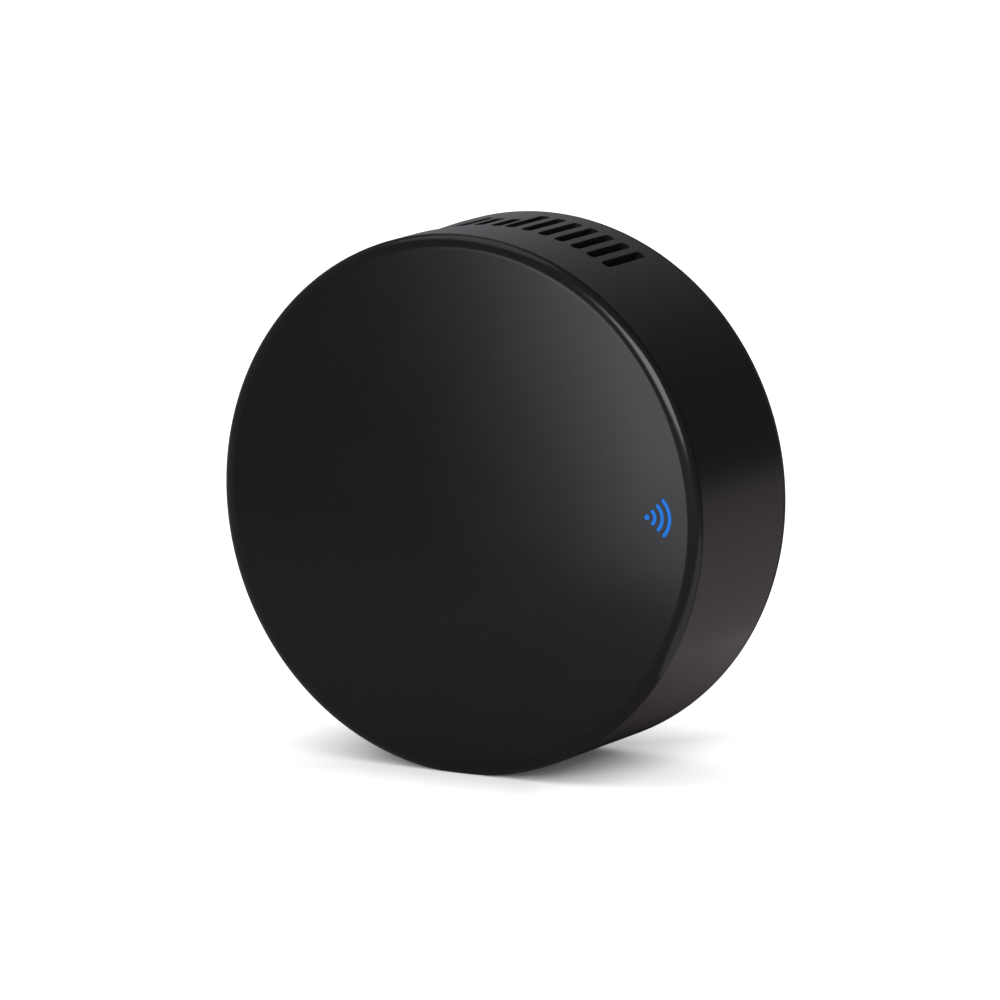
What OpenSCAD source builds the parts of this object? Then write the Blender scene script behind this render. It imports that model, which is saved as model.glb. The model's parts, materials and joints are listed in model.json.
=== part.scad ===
// Round smart infrared blaster that stands on its rim, in millimetres.
// Each piece is drawn with the puck on its back: foot at z = 0, marked face at z = puck_h.
// upright() then stands the puck on its rim, with the marked face towards -Y and +Z up.

/* [Puck] */
// Diameter of the round body
puck_d = 63; // [61:0.5:70]
// Depth from the foot to the marked face
puck_h = 23; // [22:0.5:27]
// Wall of the body ring
wall = 1.9; // [1.5:0.1:2.3]
// Depth of the small flat under the rim that the puck stands on
stand_flat = 0.2; // [0.15:0.05:0.3]

/* [Front cover] */
// Thickness of the front cover
cover_t = 1.6; // [1.3:0.1:2]
// Radial width of the rounded edge round the face
face_edge_w = 1.75; // [1:0.05:1.8]
// Depth of the rounded edge round the face
face_edge_h = 1; // [0.8:0.05:1.2]
// Width of the joint line between the shells
joint_gap = 0.12; // [0.08:0.02:0.2]

/* [Back] */
// Thickness of the base cover
base_t = 1.6; // [1.4:0.1:2]
// Radial width of the rounded edge round the back
rear_edge_w = 2.2; // [1.6:0.1:2.4]
// Depth of the rounded edge round the back
rear_edge_h = 1.9; // [1.7:0.1:2.2]
// How far the rubber foot stands out of the back
foot_proud = 0.7; // [0.5:0.1:1]
// Width of the rubber foot
foot_w = 6; // [5.2:0.1:6.4]

/* [Vents] */
// Width of a vent slot
vent_w = 1.2; // [0.8:0.1:1.4]
// Length of a long vent slot
vent_l = 9.2; // [7:0.2:10]
// Length of a short vent slot
short_vent_l = 5.8; // [5:0.2:8]
// Height of the long slots' middle above the foot
vent_z = 9.9; // [9.5:0.1:11]
// Height of the short slots' middle above the foot
short_vent_z = 11.9; // [10.5:0.1:13]
// Angle from one slot to the next
vent_step_angle = 4; // [3.8:0.1:4]
// Number of long slots before the port
vent_count = 7; // [3:1:7]

/* [Power port] */
// Width of the port opening round the rim
port_w = 11.2; // [9:0.1:11.4]
// Height of the port opening along the depth
port_h = 7.8; // [5:0.1:8]
// Corner radius of the port opening
port_corner_r = 1.2; // [0.8:0.1:3]
// Height of the port's middle above the foot
port_z = 11.75; // [11.5:0.05:12.5]

/* [Reset button] */
// Diameter of the button
button_d = 3.4; // [2.6:0.1:3.6]
// How far the button stands out of the rim
button_proud = 0.3; // [0.3:0.05:0.6]
// Travel of the button
button_travel = 0.3; // [0.2:0.05:0.3]

/* [Signal mark] */
// Diameter of the mark's dot
dot_d = 0.66; // [0.5:0.05:0.9]
// Radius of the mark's first arc
arc_first_r = 1; // [1:0.02:1.2]
// Distance from one arc to the next
arc_spacing = 0.96; // [0.8:0.02:1]
// Width of an arc's stroke
arc_stroke = 0.44; // [0.3:0.05:0.55]
// Distance of the dot from the rim
mark_inset = 6.8; // [6.2:0.1:7.5]

/* [Main board] */
// Thickness of the main board
board_t = 1.6; // [1:0.1:1.8]
// Free room between the board's edge and the body ring
board_gap = 2.1; // [1.6:0.1:2.4]

/* [Hidden] */
$fn = 96;

// Colours
shell_black = [0.05, 0.05, 0.06];
foot_black = [0.09, 0.09, 0.09];
mark_blue = [0.12, 0.48, 0.95];
board_green = [0.05, 0.3, 0.16];
part_black = [0.1, 0.1, 0.11];
resin_clear = [0.75, 0.78, 0.9];
metal = [0.72, 0.72, 0.74];
gold = [0.8, 0.62, 0.25];
ceramic = [0.72, 0.6, 0.42];
pale_plastic = [0.9, 0.9, 0.86];

// Overrun of cuts, and the clearances between pieces
over = 0.5;
seat_gap = 0.1;
tight_gap = 0.03;
button_gap = 0.05;

// Levels and radii that the shells share
puck_r = puck_d / 2;
stand_r = puck_r - stand_flat;
face_r = puck_r - face_edge_w;
ring_in_r = puck_r - wall;
spigot_r = ring_in_r - seat_gap;
joint_share = 0.75;
joint_z = puck_h - joint_share * face_edge_h;
seat_z = joint_z - joint_gap / 2;
lip_z = joint_z + joint_gap / 2;
groove_share = 0.15;
groove_r = puck_r - groove_share * wall;
cover_in_z = puck_h - cover_t;
base_in_z = foot_proud + base_t;
ring_back_z = foot_proud + rear_edge_h;
edge_steps = 10;

// Snap hooks of the front cover and the ribs that catch them
hook_count = 6;
hook_first_angle = 30;
hook_l = 3.2;
hook_t = 1.2;
hook_w = 5;
barb_h = 0.9;
barb_w = 0.5;
catch_h = 0.8;
catch_r = ring_in_r - seat_gap - barb_w;
hook_r = catch_r - seat_gap;
hook_end_z = cover_in_z - hook_l;
catch_z = hook_end_z + barb_h + seat_gap;

// Rubber foot, its groove and the bare label field
foot_groove = 0.5;
foot_inset = 2;
foot_out_r = puck_r - rear_edge_w - foot_inset;
foot_in_r = foot_out_r - foot_w;
foot_round = 0.3;
label_depth = 0.25;
label_margin = 4.5;
label_r = foot_in_r - label_margin;

// Screws: three hold the base, three hold the board
screw_r = 1;
screw_head_r = 1.9;
screw_head_h = 1.1;
screw_cross_w = 0.45;
screw_cross_l = 2;
screw_cross_depth = 0.6;
case_screw_l = 4.6;
screw_head_z = foot_proud + foot_groove + screw_head_h;
case_screw_r = (foot_in_r + foot_out_r) / 2;
case_screw_angles = [106.5, 226.5, 346.5];
board_screw_l = 5;
board_screw_inset = 5.5;
board_screw_angles = [46.5, 178.5, 292.5];
pad_wall = 1.3;
pad_h = 1.1;
pad_r = screw_head_r + pad_wall;
spigot_z = base_in_z + pad_h - seat_gap;
boss_wall = 1.6;
boss_r = screw_r + boss_wall;
boss_floor = 0.4;
boss_web_t = 1.4;
post_wall = 1.5;
post_r = screw_r + post_wall;

// Main board
board_r = ring_in_r - board_gap;
usb_h = 2.7;
board_front_z = port_z - usb_h / 2;
board_back_z = board_front_z - board_t;
board_screw_ring_r = board_r - board_screw_inset;

// Micro USB receptacle
port_angle = 106.5;
usb_w = 7.5;
usb_l = 5.6;
usb_wall = 0.3;
usb_set_back = 0.3;
usb_mouth_r = board_r - usb_set_back;
usb_low_w = 5.9;
usb_side_h = 1.5;
usb_lip = 0.2;
usb_lip_l = 0.5;
usb_leg_w = 1;
usb_leg_t = 0.5;
usb_leg_out = 0.7;
usb_leg_gap = 0.1;
tongue_w = 3.7;
tongue_t = 0.65;
tongue_root = 1.6;
tongue_l = 3.2;
contact_count = 5;
contact_w = 0.35;
contact_t = 0.08;
contact_spacing = 0.65;

// Reset button and its side-push switch
button_angle = 121.5;
button_flange_w = 0.6;
button_flange_t = 0.55;
button_flange_gap = 0.3;
button_stem_d = 1.8;
button_round = 0.25;
button_r = button_d / 2;
button_tip_r = puck_r + button_proud;
flange_out_r = ring_in_r - button_flange_gap;
flange_in_r = flange_out_r - button_flange_t;
switch_w = 4;
switch_h = 2.9;
switch_l = 3.3;
switch_z = board_front_z + switch_h / 2;
switch_front_r = board_r;
plunger_w = 1.8;
plunger_h = 1.4;
plunger_out = 0.6;
plunger_tip_r = switch_front_r + plunger_out;
plunger_in = 1.1;
dome_r = 0.85;
dome_top_r = 0.4;
dome_h = 0.25;
cavity_floor_r = switch_front_r - plunger_in - button_travel - dome_h - button_gap;

// Vent slots and their places round the rim
vent_near_angle = 86.8;
short_vent_count = 2;
short_vent_first_angle = 89.8;
far_vent_first_angle = 130.3;
far_vent_count = vent_count - 1;

// Signal mark and the light guide behind it
mark_angle = 2.3;
arc_count = 3;
arc_half_angle = 43.5;
mark_r = puck_r - mark_inset;
mark_reach = arc_first_r + (arc_count - 1) * arc_spacing + arc_stroke / 2;
guide_plate_t = 0.8;
guide_margin = 0.6;
guide_half_w = mark_reach * sin(arc_half_angle) + arc_stroke / 2 + guide_margin;
guide_leg_w = 3.2;
status_w = 2.8;
status_l = 3.5;
status_h = 1.9;
status_shift = 0.5;
guide_gap = 0.25;
status_r = mark_r + status_shift;
guide_end_z = board_front_z + status_h + guide_gap;

// Infrared light-emitting diodes: six point out through the rim, one through the face
led_count = 6;
led_first_angle = 150;
led_step_angle = 57;
led_r = 2.5;
led_flange_r = 2.9;
led_flange_t = 1;
led_barrel_l = 6.1;
led_tip_gap = 0.7;
led_lift = 0.2;
led_l = led_barrel_l + led_r;
led_root_r = ring_in_r - led_tip_gap - led_l;
led_axis_z = board_front_z + led_flange_r + led_lift;
lead_t = 0.5;
lead_half_spacing = 1.27;
lead_bend = 1.5;
lead_tail = 1.2;
lead_hole_r = 0.45;
lead_r = led_root_r - lead_bend;
front_led_shares = [0.02, 0.32];
front_led_r = 1.5;
front_led_flange_r = 1.9;
front_led_barrel_l = 3.7;
front_led_lift = 1;

// Wireless module
wifi_shares = [-0.04, -0.24];
wifi_w = 15;
wifi_l = 17.3;
wifi_board_t = 0.8;
shield_w = 12.4;
shield_h = 2.2;
shield_edge = 0.5;
shield_wall = 0.2;
antenna_t = 0.1;
antenna_line = 0.6;
antenna_fingers = 7;
antenna_w = 12;
antenna_l = 3.6;
antenna_keep = 2.9;
shield_l = wifi_l - antenna_l - antenna_keep;
wifi_x = wifi_shares[0] * board_r;
wifi_y = wifi_shares[1] * board_r;
wifi_right_x = wifi_x + wifi_w / 2;
wifi_top_y = wifi_y + wifi_l / 2;
wifi_low_y = wifi_y - wifi_l / 2;

// Infrared receiver
receiver_shares = [-0.42, 0.27];
receiver_w = 6;
receiver_l = 5.6;
receiver_h = 2.8;
receiver_dome_r = 2.2;
receiver_lead_spacing = 1.6;
receiver_lead_count = 3;

// Smaller parts of the board: places are shares of the board's radius
capacitor_shares = [[0.37, 0.36], [0.46, -0.1]];
capacitor_r = 2.5;
capacitor_h = 5.8;
capacitor_foot = 5.3;
capacitor_foot_h = 0.7;
row_gap = 0.4;
regulator_share = -0.4;
regulator_w = 6.5;
regulator_l = 3.5;
regulator_h = 1.6;
regulator_pin_w = 0.7;
regulator_pin_l = 1.7;
regulator_pin_t = 0.3;
regulator_pin_spacing = 2.3;
regulator_tab_w = 3;
regulator_place = [wifi_right_x + row_gap + regulator_w / 2, regulator_share * board_r, board_front_z];
transistor_shares = [[-0.5, -0.05], [-0.5, -0.3], [0.44, 0.1], [-0.22, 0.6]];
transistor_w = 2.9;
transistor_l = 1.3;
transistor_h = 1;
transistor_leg = 0.4;
chip_gap = 2.3;
chip_share = -0.17;
chip_w = 4.4;
chip_l = 5;
chip_h = 1.2;
chip_place = [chip_share * board_r, wifi_top_y + chip_gap + chip_l / 2, board_front_z];
memory_shares = [-0.6, 0.1];
memory_w = 3;
memory_l = 3;
memory_h = 0.9;
crystal_w = 3.2;
crystal_l = 2.5;
crystal_h = 0.8;
crystal_place = [wifi_right_x - crystal_w / 2, wifi_top_y + row_gap + crystal_l / 2, board_front_z];
resistor_shares = [[0.44, 0.6], [0.6, -0.25], [-0.44, -0.5], [-0.7, -0.12]];
low_resistor_shares = [-0.3, 0.14];
low_resistor_gap = 1.4;
ceramic_shares = [[0.08, 0.62], [0.6, 0.02], [-0.3, 0.47], [-0.28, -0.72], [0.4, -0.62], [-0.13, 0.42]];
small_l = 1.6;
small_w = 0.8;
small_h = 0.5;

function edge_point(t) = [face_r + face_edge_w * sin(t), puck_h - face_edge_h * (1 - cos(t))];
function edge_angle(z) = acos(1 - (puck_h - z) / face_edge_h);
function rear_point(t) = [
    puck_r - rear_edge_w * (1 - cos(t)),
    ring_back_z - rear_edge_h * sin(t)
];
function at_share(shares) = [shares[0] * board_r, shares[1] * board_r, board_front_z];

// Stands the puck on its rim, over the origin, with its face towards -Y
module upright() {
    translate([0, puck_h / 2, stand_r]) rotate([90, 0, 0]) children();
}

// Moves a child out along the radius at an angle round the puck
module place(angle, radius, z) {
    rotate([0, 0, angle]) translate([radius, 0, z]) children();
}

// A block centred across its width, from x = 0 inwards or outwards
module block(length, width, height) {
    translate([0, -width / 2, 0]) cube([length, width, height]);
}

// A block that stands centred on its place
module standing_block(width, length, height) {
    translate([-width / 2, -length / 2, 0]) cube([width, length, height]);
}

module ring(outer, inner, height) {
    difference() {
        cylinder(r = outer, h = height);
        translate([0, 0, -over]) cylinder(r = inner, h = height + 2 * over);
    }
}

// Part of a ring, as wide as the given chord
module ring_piece(angle, outer, inner, height, width) {
    intersection() {
        ring(outer, inner, height);
        rotate([0, 0, angle]) translate([0, -width / 2, -over])
            cube([outer + over, width, height + 2 * over]);
    }
}

// What the standing flat takes off the shells
module under_rim() {
    translate([-puck_r, -stand_r - puck_r, -over]) cube([puck_d, puck_r, puck_h + 2 * over]);
}

// A slot with round ends, cut through the wall of the body ring
module rim_slot(angle, width, length, z) {
    place(angle, ring_in_r - over, z) rotate([0, 90, 0]) linear_extrude(wall + 2 * over) {
        square([length - width, width], center = true);
        for (side = [-1, 1]) translate([side * (length - width) / 2, 0]) circle(d = width);
    }
}

// A rectangle with round corners, drawn flat
module round_rectangle(width, length, corner) {
    square([width - 2 * corner, length], center = true);
    square([width, length - 2 * corner], center = true);
    for (x = [-1, 1], y = [-1, 1])
        translate([x * (width / 2 - corner), y * (length / 2 - corner)]) circle(r = corner);
}

// The wireless signal symbol: a dot and arcs with round ends, drawn flat
module signal_mark(grow) {
    circle(d = dot_d + 2 * grow);
    for (i = [0:arc_count - 1]) signal_arc(arc_first_r + i * arc_spacing, arc_stroke / 2 + grow);
}

module signal_arc(radius, half_stroke) {
    reach = 2 * radius;
    intersection() {
        difference() {
            circle(r = radius + half_stroke);
            circle(r = radius - half_stroke);
        }
        polygon([[0, 0], [reach, -reach * tan(arc_half_angle)], [reach, reach * tan(arc_half_angle)]]);
    }
    for (side = [-1, 1]) rotate(side * arc_half_angle) translate([radius, 0]) circle(r = half_stroke);
}

// A pan-head screw that points down from z = 0, with a cross recess in its head
module screw(length) {
    translate([0, 0, -length]) cylinder(r = screw_r, h = length);
    difference() {
        cylinder(r = screw_head_r, h = screw_head_h);
        for (turn = [0, 90]) rotate([0, 0, turn])
            translate([0, 0, screw_head_h - screw_cross_depth])
                standing_block(screw_cross_l, screw_cross_w, screw_cross_depth + over);
    }
}

// Infrared diode that points along +Z, its flange at z = 0
module led_body(radius, flange_r, barrel_l) {
    cylinder(r = flange_r, h = led_flange_t);
    cylinder(r = radius, h = barrel_l);
    translate([0, 0, barrel_l]) sphere(r = radius);
}

module front_cover() {
    lip_angle = edge_angle(lip_z);
    color(shell_black) upright() difference() {
        union() {
            rotate_extrude() polygon(concat(
                [[0, cover_in_z], [spigot_r, cover_in_z], [spigot_r, seat_z],
                 [groove_r, seat_z], [groove_r, lip_z]],
                [for (i = [0:edge_steps]) edge_point(lip_angle * (1 - i / edge_steps))],
                [[0, puck_h]]
            ));
            for (i = [0:hook_count - 1]) cover_hook(hook_first_angle + i * 360 / hook_count);
        }
        place(mark_angle, mark_r, cover_in_z - over)
            linear_extrude(cover_t + 2 * over) signal_mark(tight_gap);
        under_rim();
    }
}

// Snap hook: an arm behind the cover with a barb at its end
module cover_hook(angle) {
    translate([0, 0, hook_end_z])
        ring_piece(angle, hook_r, hook_r - hook_t, hook_l + cover_t / 2, hook_w);
    translate([0, 0, hook_end_z])
        ring_piece(angle, hook_r + barb_w, hook_r - hook_t / 2, barb_h, hook_w);
}

module body_ring() {
    seat_angle = edge_angle(seat_z);
    color(shell_black) upright() difference() {
        union() {
            rotate_extrude() polygon(concat(
                [[ring_in_r, ring_back_z], [puck_r, ring_back_z]],
                [for (i = [0:edge_steps]) edge_point(90 - (90 - seat_angle) * i / edge_steps)],
                [[ring_in_r, seat_z]]
            ));
            for (i = [0:hook_count - 1]) translate([0, 0, catch_z])
                ring_piece(hook_first_angle + i * 360 / hook_count, ring_in_r + wall / 2, catch_r,
                           catch_h, hook_w + 2 * seat_gap);
            for (angle = case_screw_angles) ring_boss(angle);
        }
        for (angle = case_screw_angles) place(angle, case_screw_r, base_in_z)
            cylinder(r = screw_r + tight_gap, h = case_screw_l);
        for (i = [0:vent_count - 1])
            rim_slot(vent_near_angle - i * vent_step_angle, vent_w, vent_l, vent_z);
        for (i = [0:short_vent_count - 1])
            rim_slot(short_vent_first_angle + i * vent_step_angle, vent_w, short_vent_l, short_vent_z);
        for (i = [0:far_vent_count - 1])
            rim_slot(far_vent_first_angle + i * vent_step_angle, vent_w, vent_l, vent_z);
        place(port_angle, ring_in_r - over, port_z) rotate([0, 90, 0])
            linear_extrude(wall + 2 * over) round_rectangle(port_h, port_w, port_corner_r);
        place(button_angle, ring_in_r - over, switch_z) rotate([0, 90, 0])
            cylinder(r = button_r + button_gap, h = wall + 2 * over);
        under_rim();
    }
}

// Boss that takes a case screw, joined to the wall by a web
module ring_boss(angle) {
    boss_z = base_in_z + pad_h;
    boss_h = case_screw_l + boss_floor - (boss_z - screw_head_z);
    place(angle, case_screw_r, boss_z) cylinder(r = boss_r, h = boss_h);
    place(angle, case_screw_r, boss_z) block(ring_in_r + wall / 2 - case_screw_r, boss_web_t, boss_h);
}

module base_cover() {
    color(shell_black) upright() difference() {
        union() {
            rotate_extrude() polygon(concat(
                [[0, foot_proud]],
                [for (i = [0:edge_steps]) rear_point(90 - 90 * i / edge_steps)],
                [[groove_r, ring_back_z], [spigot_r, ring_back_z], [spigot_r, spigot_z],
                 [spigot_r - hook_t, spigot_z], [spigot_r - hook_t, base_in_z],
                 [0, base_in_z]]
            ));
            for (angle = case_screw_angles) place(angle, case_screw_r, foot_proud)
                cylinder(r = pad_r, h = base_t + pad_h);
            for (angle = board_screw_angles) place(angle, board_screw_ring_r, foot_proud)
                cylinder(r = post_r, h = board_back_z - foot_proud);
        }
        translate([0, 0, foot_proud - over])
            ring(foot_out_r + seat_gap, foot_in_r - seat_gap, foot_groove + over);
        translate([0, 0, foot_proud - over]) cylinder(r = label_r, h = label_depth + over);
        for (angle = case_screw_angles) place(angle, case_screw_r, foot_proud) {
            cylinder(r = screw_head_r + seat_gap, h = screw_head_z - foot_proud);
            cylinder(r = screw_r + seat_gap, h = base_t + pad_h + over);
        }
        for (angle = board_screw_angles)
            place(angle, board_screw_ring_r, board_back_z - board_screw_l + board_t)
                cylinder(r = screw_r + tight_gap, h = board_screw_l);
        under_rim();
    }
}

module foot_ring() {
    color(foot_black) upright() rotate_extrude() polygon([
        [foot_in_r + foot_round, 0], [foot_out_r - foot_round, 0], [foot_out_r, foot_round],
        [foot_out_r, foot_proud + foot_groove], [foot_in_r, foot_proud + foot_groove],
        [foot_in_r, foot_round]
    ]);
}

module case_screws() {
    color(metal) upright() for (angle = case_screw_angles)
        place(angle, case_screw_r, screw_head_z) rotate([180, 0, 0]) screw(case_screw_l);
}

module board_screws() {
    color(metal) upright() for (angle = board_screw_angles)
        place(angle, board_screw_ring_r, board_front_z) screw(board_screw_l);
}

// Clear insert that fills the mark in the face and leads the blue light to it
module light_guide() {
    color(mark_blue) upright() place(mark_angle, mark_r, 0) {
        translate([0, 0, cover_in_z]) linear_extrude(cover_t) signal_mark(0);
        translate([-dot_d / 2 - guide_margin, 0, cover_in_z - guide_plate_t])
            block(dot_d / 2 + mark_reach + 2 * guide_margin, 2 * guide_half_w, guide_plate_t);
        translate([status_shift, 0, guide_end_z])
            standing_block(guide_leg_w, guide_leg_w, cover_in_z - guide_plate_t - guide_end_z);
    }
}

module main_board() {
    color(board_green) upright() difference() {
        translate([0, 0, board_back_z]) cylinder(r = board_r, h = board_t);
        for (angle = board_screw_angles) place(angle, board_screw_ring_r, board_back_z - over)
            cylinder(r = screw_r + seat_gap, h = board_t + 2 * over);
        translate([0, 0, board_back_z - over]) lead_places()
            cylinder(r = lead_hole_r, h = board_t + 2 * over);
        usb_legs(usb_leg_gap);
    }
}

// Every place where a diode's or the receiver's lead goes through the board
module lead_places() {
    for (i = [0:led_count - 1], side = [-1, 1])
        rotate([0, 0, led_first_angle + i * led_step_angle])
            translate([lead_r + lead_t / 2, side * lead_half_spacing, 0]) children();
    for (side = [-1, 1])
        translate([front_led_shares[0] * board_r + side * lead_half_spacing,
                   front_led_shares[1] * board_r, 0]) children();
    for (i = [0:receiver_lead_count - 1]) receiver_lead_place(i) children();
}

module receiver_lead_place(i) {
    middle = (receiver_lead_count - 1) / 2;
    translate([receiver_shares[0] * board_r + (i - middle) * receiver_lead_spacing,
               receiver_shares[1] * board_r - receiver_l / 2 - lead_bend / 2, 0]) children();
}

// Shell of the receptacle: its outline looks in from the mouth
module usb_outline(inset) {
    half_w = usb_w / 2 - inset;
    half_low = usb_low_w / 2 - inset;
    top = usb_h / 2 - inset;
    side = usb_h / 2 - usb_side_h;
    polygon([[-half_w, top], [half_w, top], [half_w, side], [half_low, -top], [-half_low, -top],
             [-half_w, side]]);
}

// Puts a child at the receptacle's mouth, with Z pointing out of the port
module at_usb(depth) {
    place(port_angle, usb_mouth_r - depth, port_z) rotate([90, 0, 90]) children();
}

module usb_legs(gap) {
    for (side = [-1, 1], share = [0.3, 0.75])
        place(port_angle, usb_mouth_r - share * usb_l, board_back_z - usb_leg_out)
            translate([0, side * (usb_low_w - usb_leg_t) / 2, 0])
                standing_block(usb_leg_w + 2 * gap, usb_leg_t + 2 * gap,
                               board_t + usb_leg_out + usb_wall / 2);
}

module usb_shell() {
    color(metal) upright() {
        difference() {
            union() {
                at_usb(usb_l) linear_extrude(usb_l) usb_outline(0);
                at_usb(usb_lip_l) linear_extrude(usb_lip_l)
                    translate([0, usb_lip / 2]) usb_outline(-usb_lip / 2);
            }
            at_usb(usb_l - usb_wall) linear_extrude(usb_l) usb_outline(usb_wall);
        }
        usb_legs(0);
    }
}

module usb_tongue() {
    color(part_black) upright() {
        at_usb(usb_l - usb_wall) linear_extrude(tongue_root) usb_outline(usb_wall + tight_gap);
        at_usb(usb_l - usb_wall - tongue_root)
            linear_extrude(tongue_l) square([tongue_w, tongue_t], center = true);
    }
}

module usb_contacts() {
    middle = (contact_count - 1) / 2;
    color(gold) upright() at_usb(usb_l - usb_wall - tongue_root) linear_extrude(tongue_l - contact_w)
        for (i = [0:contact_count - 1])
            translate([(i - middle) * contact_spacing - contact_w / 2, -tongue_t / 2 - contact_t])
                square([contact_w, contact_t]);
}

// Button: cap, flange behind the wall and stem, along +Z
module reset_button() {
    color(shell_black) upright() place(button_angle, 0, switch_z) rotate([0, 90, 0])
        rotate_extrude() polygon([
            [0, plunger_tip_r + button_gap], [button_stem_d / 2, plunger_tip_r + button_gap],
            [button_stem_d / 2, flange_in_r], [button_r + button_flange_w, flange_in_r],
            [button_r + button_flange_w, flange_out_r], [button_r, flange_out_r],
            [button_r, button_tip_r - button_round], [button_r - button_round, button_tip_r],
            [0, button_tip_r]
        ]);
}

module reset_switch() {
    color(metal) upright() place(button_angle, switch_front_r - switch_l, board_front_z) difference() {
        block(switch_l, switch_w, switch_h);
        translate([cavity_floor_r - switch_front_r + switch_l, 0,
                   (switch_h - plunger_h) / 2 - button_gap])
            block(switch_l, plunger_w + 2 * button_gap, plunger_h + 2 * button_gap);
    }
}

module switch_plunger() {
    color(part_black) upright()
        place(button_angle, switch_front_r - plunger_in, switch_z - plunger_h / 2)
            block(plunger_in + plunger_out, plunger_w, plunger_h);
}

// Snap dome at the floor of the switch's cavity
module switch_dome() {
    room = min(dome_r, plunger_h / 2);
    color(metal) upright() place(button_angle, cavity_floor_r, switch_z) rotate([0, 90, 0])
        cylinder(r1 = room, r2 = dome_top_r, h = dome_h);
}

module wifi_board() {
    color(board_green) upright() translate(at_share(wifi_shares))
        standing_block(wifi_w, wifi_l, wifi_board_t);
}

module wifi_shield() {
    color(metal) upright() translate(at_share(wifi_shares))
        translate([0, (wifi_l - shield_l) / 2 - shield_edge, wifi_board_t]) difference() {
            standing_block(shield_w, shield_l, shield_h);
            translate([0, 0, -over])
                standing_block(shield_w - 2 * shield_wall, shield_l - 2 * shield_wall,
                               shield_h + over - shield_wall);
        }
}

// Folded antenna track at the module's lower edge
module wifi_antenna() {
    pitch = (antenna_w - antenna_line) / (antenna_fingers - 1);
    color(gold) upright() translate(at_share(wifi_shares))
        translate([-antenna_w / 2, shield_edge - wifi_l / 2, wifi_board_t]) linear_extrude(antenna_t) {
            for (i = [0:antenna_fingers - 1])
                translate([i * pitch, 0]) square([antenna_line, antenna_l]);
            for (i = [0:antenna_fingers - 2])
                translate([i * pitch, (i % 2) * (antenna_l - antenna_line)])
                    square([pitch + antenna_line, antenna_line]);
        }
}

module status_led() {
    color(pale_plastic) upright() place(mark_angle, status_r, board_front_z)
        standing_block(status_w, status_l, status_h);
}

// Diodes 1 to led_count point out of the rim, and the last one points out of the face
module ir_led(number) {
    color(resin_clear) upright() if (number <= led_count)
        place(led_first_angle + (number - 1) * led_step_angle, led_root_r, led_axis_z)
            rotate([0, 90, 0]) led_body(led_r, led_flange_r, led_barrel_l);
    else translate(at_share(front_led_shares)) translate([0, 0, front_led_lift])
        led_body(front_led_r, front_led_flange_r, front_led_barrel_l);
}

module led_leads() {
    tail_z = board_back_z - lead_tail;
    color(metal) upright() {
        for (i = [0:led_count - 1], side = [-1, 1]) rotate([0, 0, led_first_angle + i * led_step_angle])
            translate([lead_r, side * lead_half_spacing, 0]) {
                translate([0, 0, tail_z]) block(lead_t, lead_t, led_axis_z - tail_z);
                translate([0, 0, led_axis_z - lead_t]) block(lead_bend, lead_t, lead_t);
            }
        for (side = [-1, 1])
            translate([front_led_shares[0] * board_r + side * lead_half_spacing,
                       front_led_shares[1] * board_r, tail_z])
                standing_block(lead_t, lead_t, board_front_z + front_led_lift - tail_z);
    }
}

module ir_receiver() {
    color(part_black) upright() translate(at_share(receiver_shares)) {
        standing_block(receiver_w, receiver_l, receiver_h);
        translate([0, 0, receiver_h]) intersection() {
            sphere(r = receiver_dome_r);
            standing_block(receiver_w, receiver_l, receiver_dome_r + over);
        }
    }
}

module receiver_leads() {
    tail_z = board_back_z - lead_tail;
    color(metal) upright() for (i = [0:receiver_lead_count - 1]) receiver_lead_place(i) {
        translate([0, 0, tail_z])
            standing_block(lead_t, lead_t, board_front_z + receiver_h / 2 - tail_z);
        translate([-lead_t / 2, -lead_t / 2, board_front_z + receiver_h / 2 - lead_t])
            cube([lead_t, (lead_bend + lead_t) / 2, lead_t]);
    }
}

module smoothing_capacitors() {
    color(metal) upright() for (shares = capacitor_shares) translate(at_share(shares)) {
        standing_block(capacitor_foot, capacitor_foot, capacitor_foot_h);
        cylinder(r = capacitor_r, h = capacitor_h);
    }
}

module voltage_regulator() {
    tab_y = regulator_l / 2;
    color(part_black) upright() translate(regulator_place) {
        standing_block(regulator_w, regulator_l, regulator_h);
        translate([0, tab_y, 0])
            standing_block(regulator_tab_w, 2 * regulator_pin_l, regulator_pin_t);
        for (i = [-1:1]) translate([i * regulator_pin_spacing, -tab_y, 0])
            standing_block(regulator_pin_w, 2 * regulator_pin_l, regulator_pin_t);
    }
}

module driver_transistors() {
    color(part_black) upright() for (shares = transistor_shares) translate(at_share(shares)) {
        standing_block(transistor_w, transistor_l, transistor_h);
        for (side = [-1, 1]) translate([side * transistor_w / 3, transistor_l / 2, 0])
            standing_block(transistor_leg, 2 * transistor_leg, transistor_leg / 2);
        translate([0, -transistor_l / 2, 0])
            standing_block(transistor_leg, 2 * transistor_leg, transistor_leg / 2);
    }
}

module control_chip() {
    color(part_black) upright() translate(chip_place)
        standing_block(chip_w, chip_l, chip_h);
}

module memory_chip() {
    color(part_black) upright() translate(at_share(memory_shares))
        standing_block(memory_w, memory_l, memory_h);
}

module crystal() {
    color(metal) upright() translate(crystal_place)
        standing_block(crystal_w, crystal_l, crystal_h);
}

module chip_resistors() {
    color(part_black) upright() {
        for (shares = resistor_shares) translate(at_share(shares))
            standing_block(small_l, small_w, small_h);
        for (share = low_resistor_shares)
            translate([share * board_r, wifi_low_y - low_resistor_gap - small_w / 2, board_front_z])
                standing_block(small_l, small_w, small_h);
    }
}

module chip_capacitors() {
    color(ceramic) upright() for (shares = ceramic_shares) translate(at_share(shares))
        standing_block(small_l, small_w, small_w);
}

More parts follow.
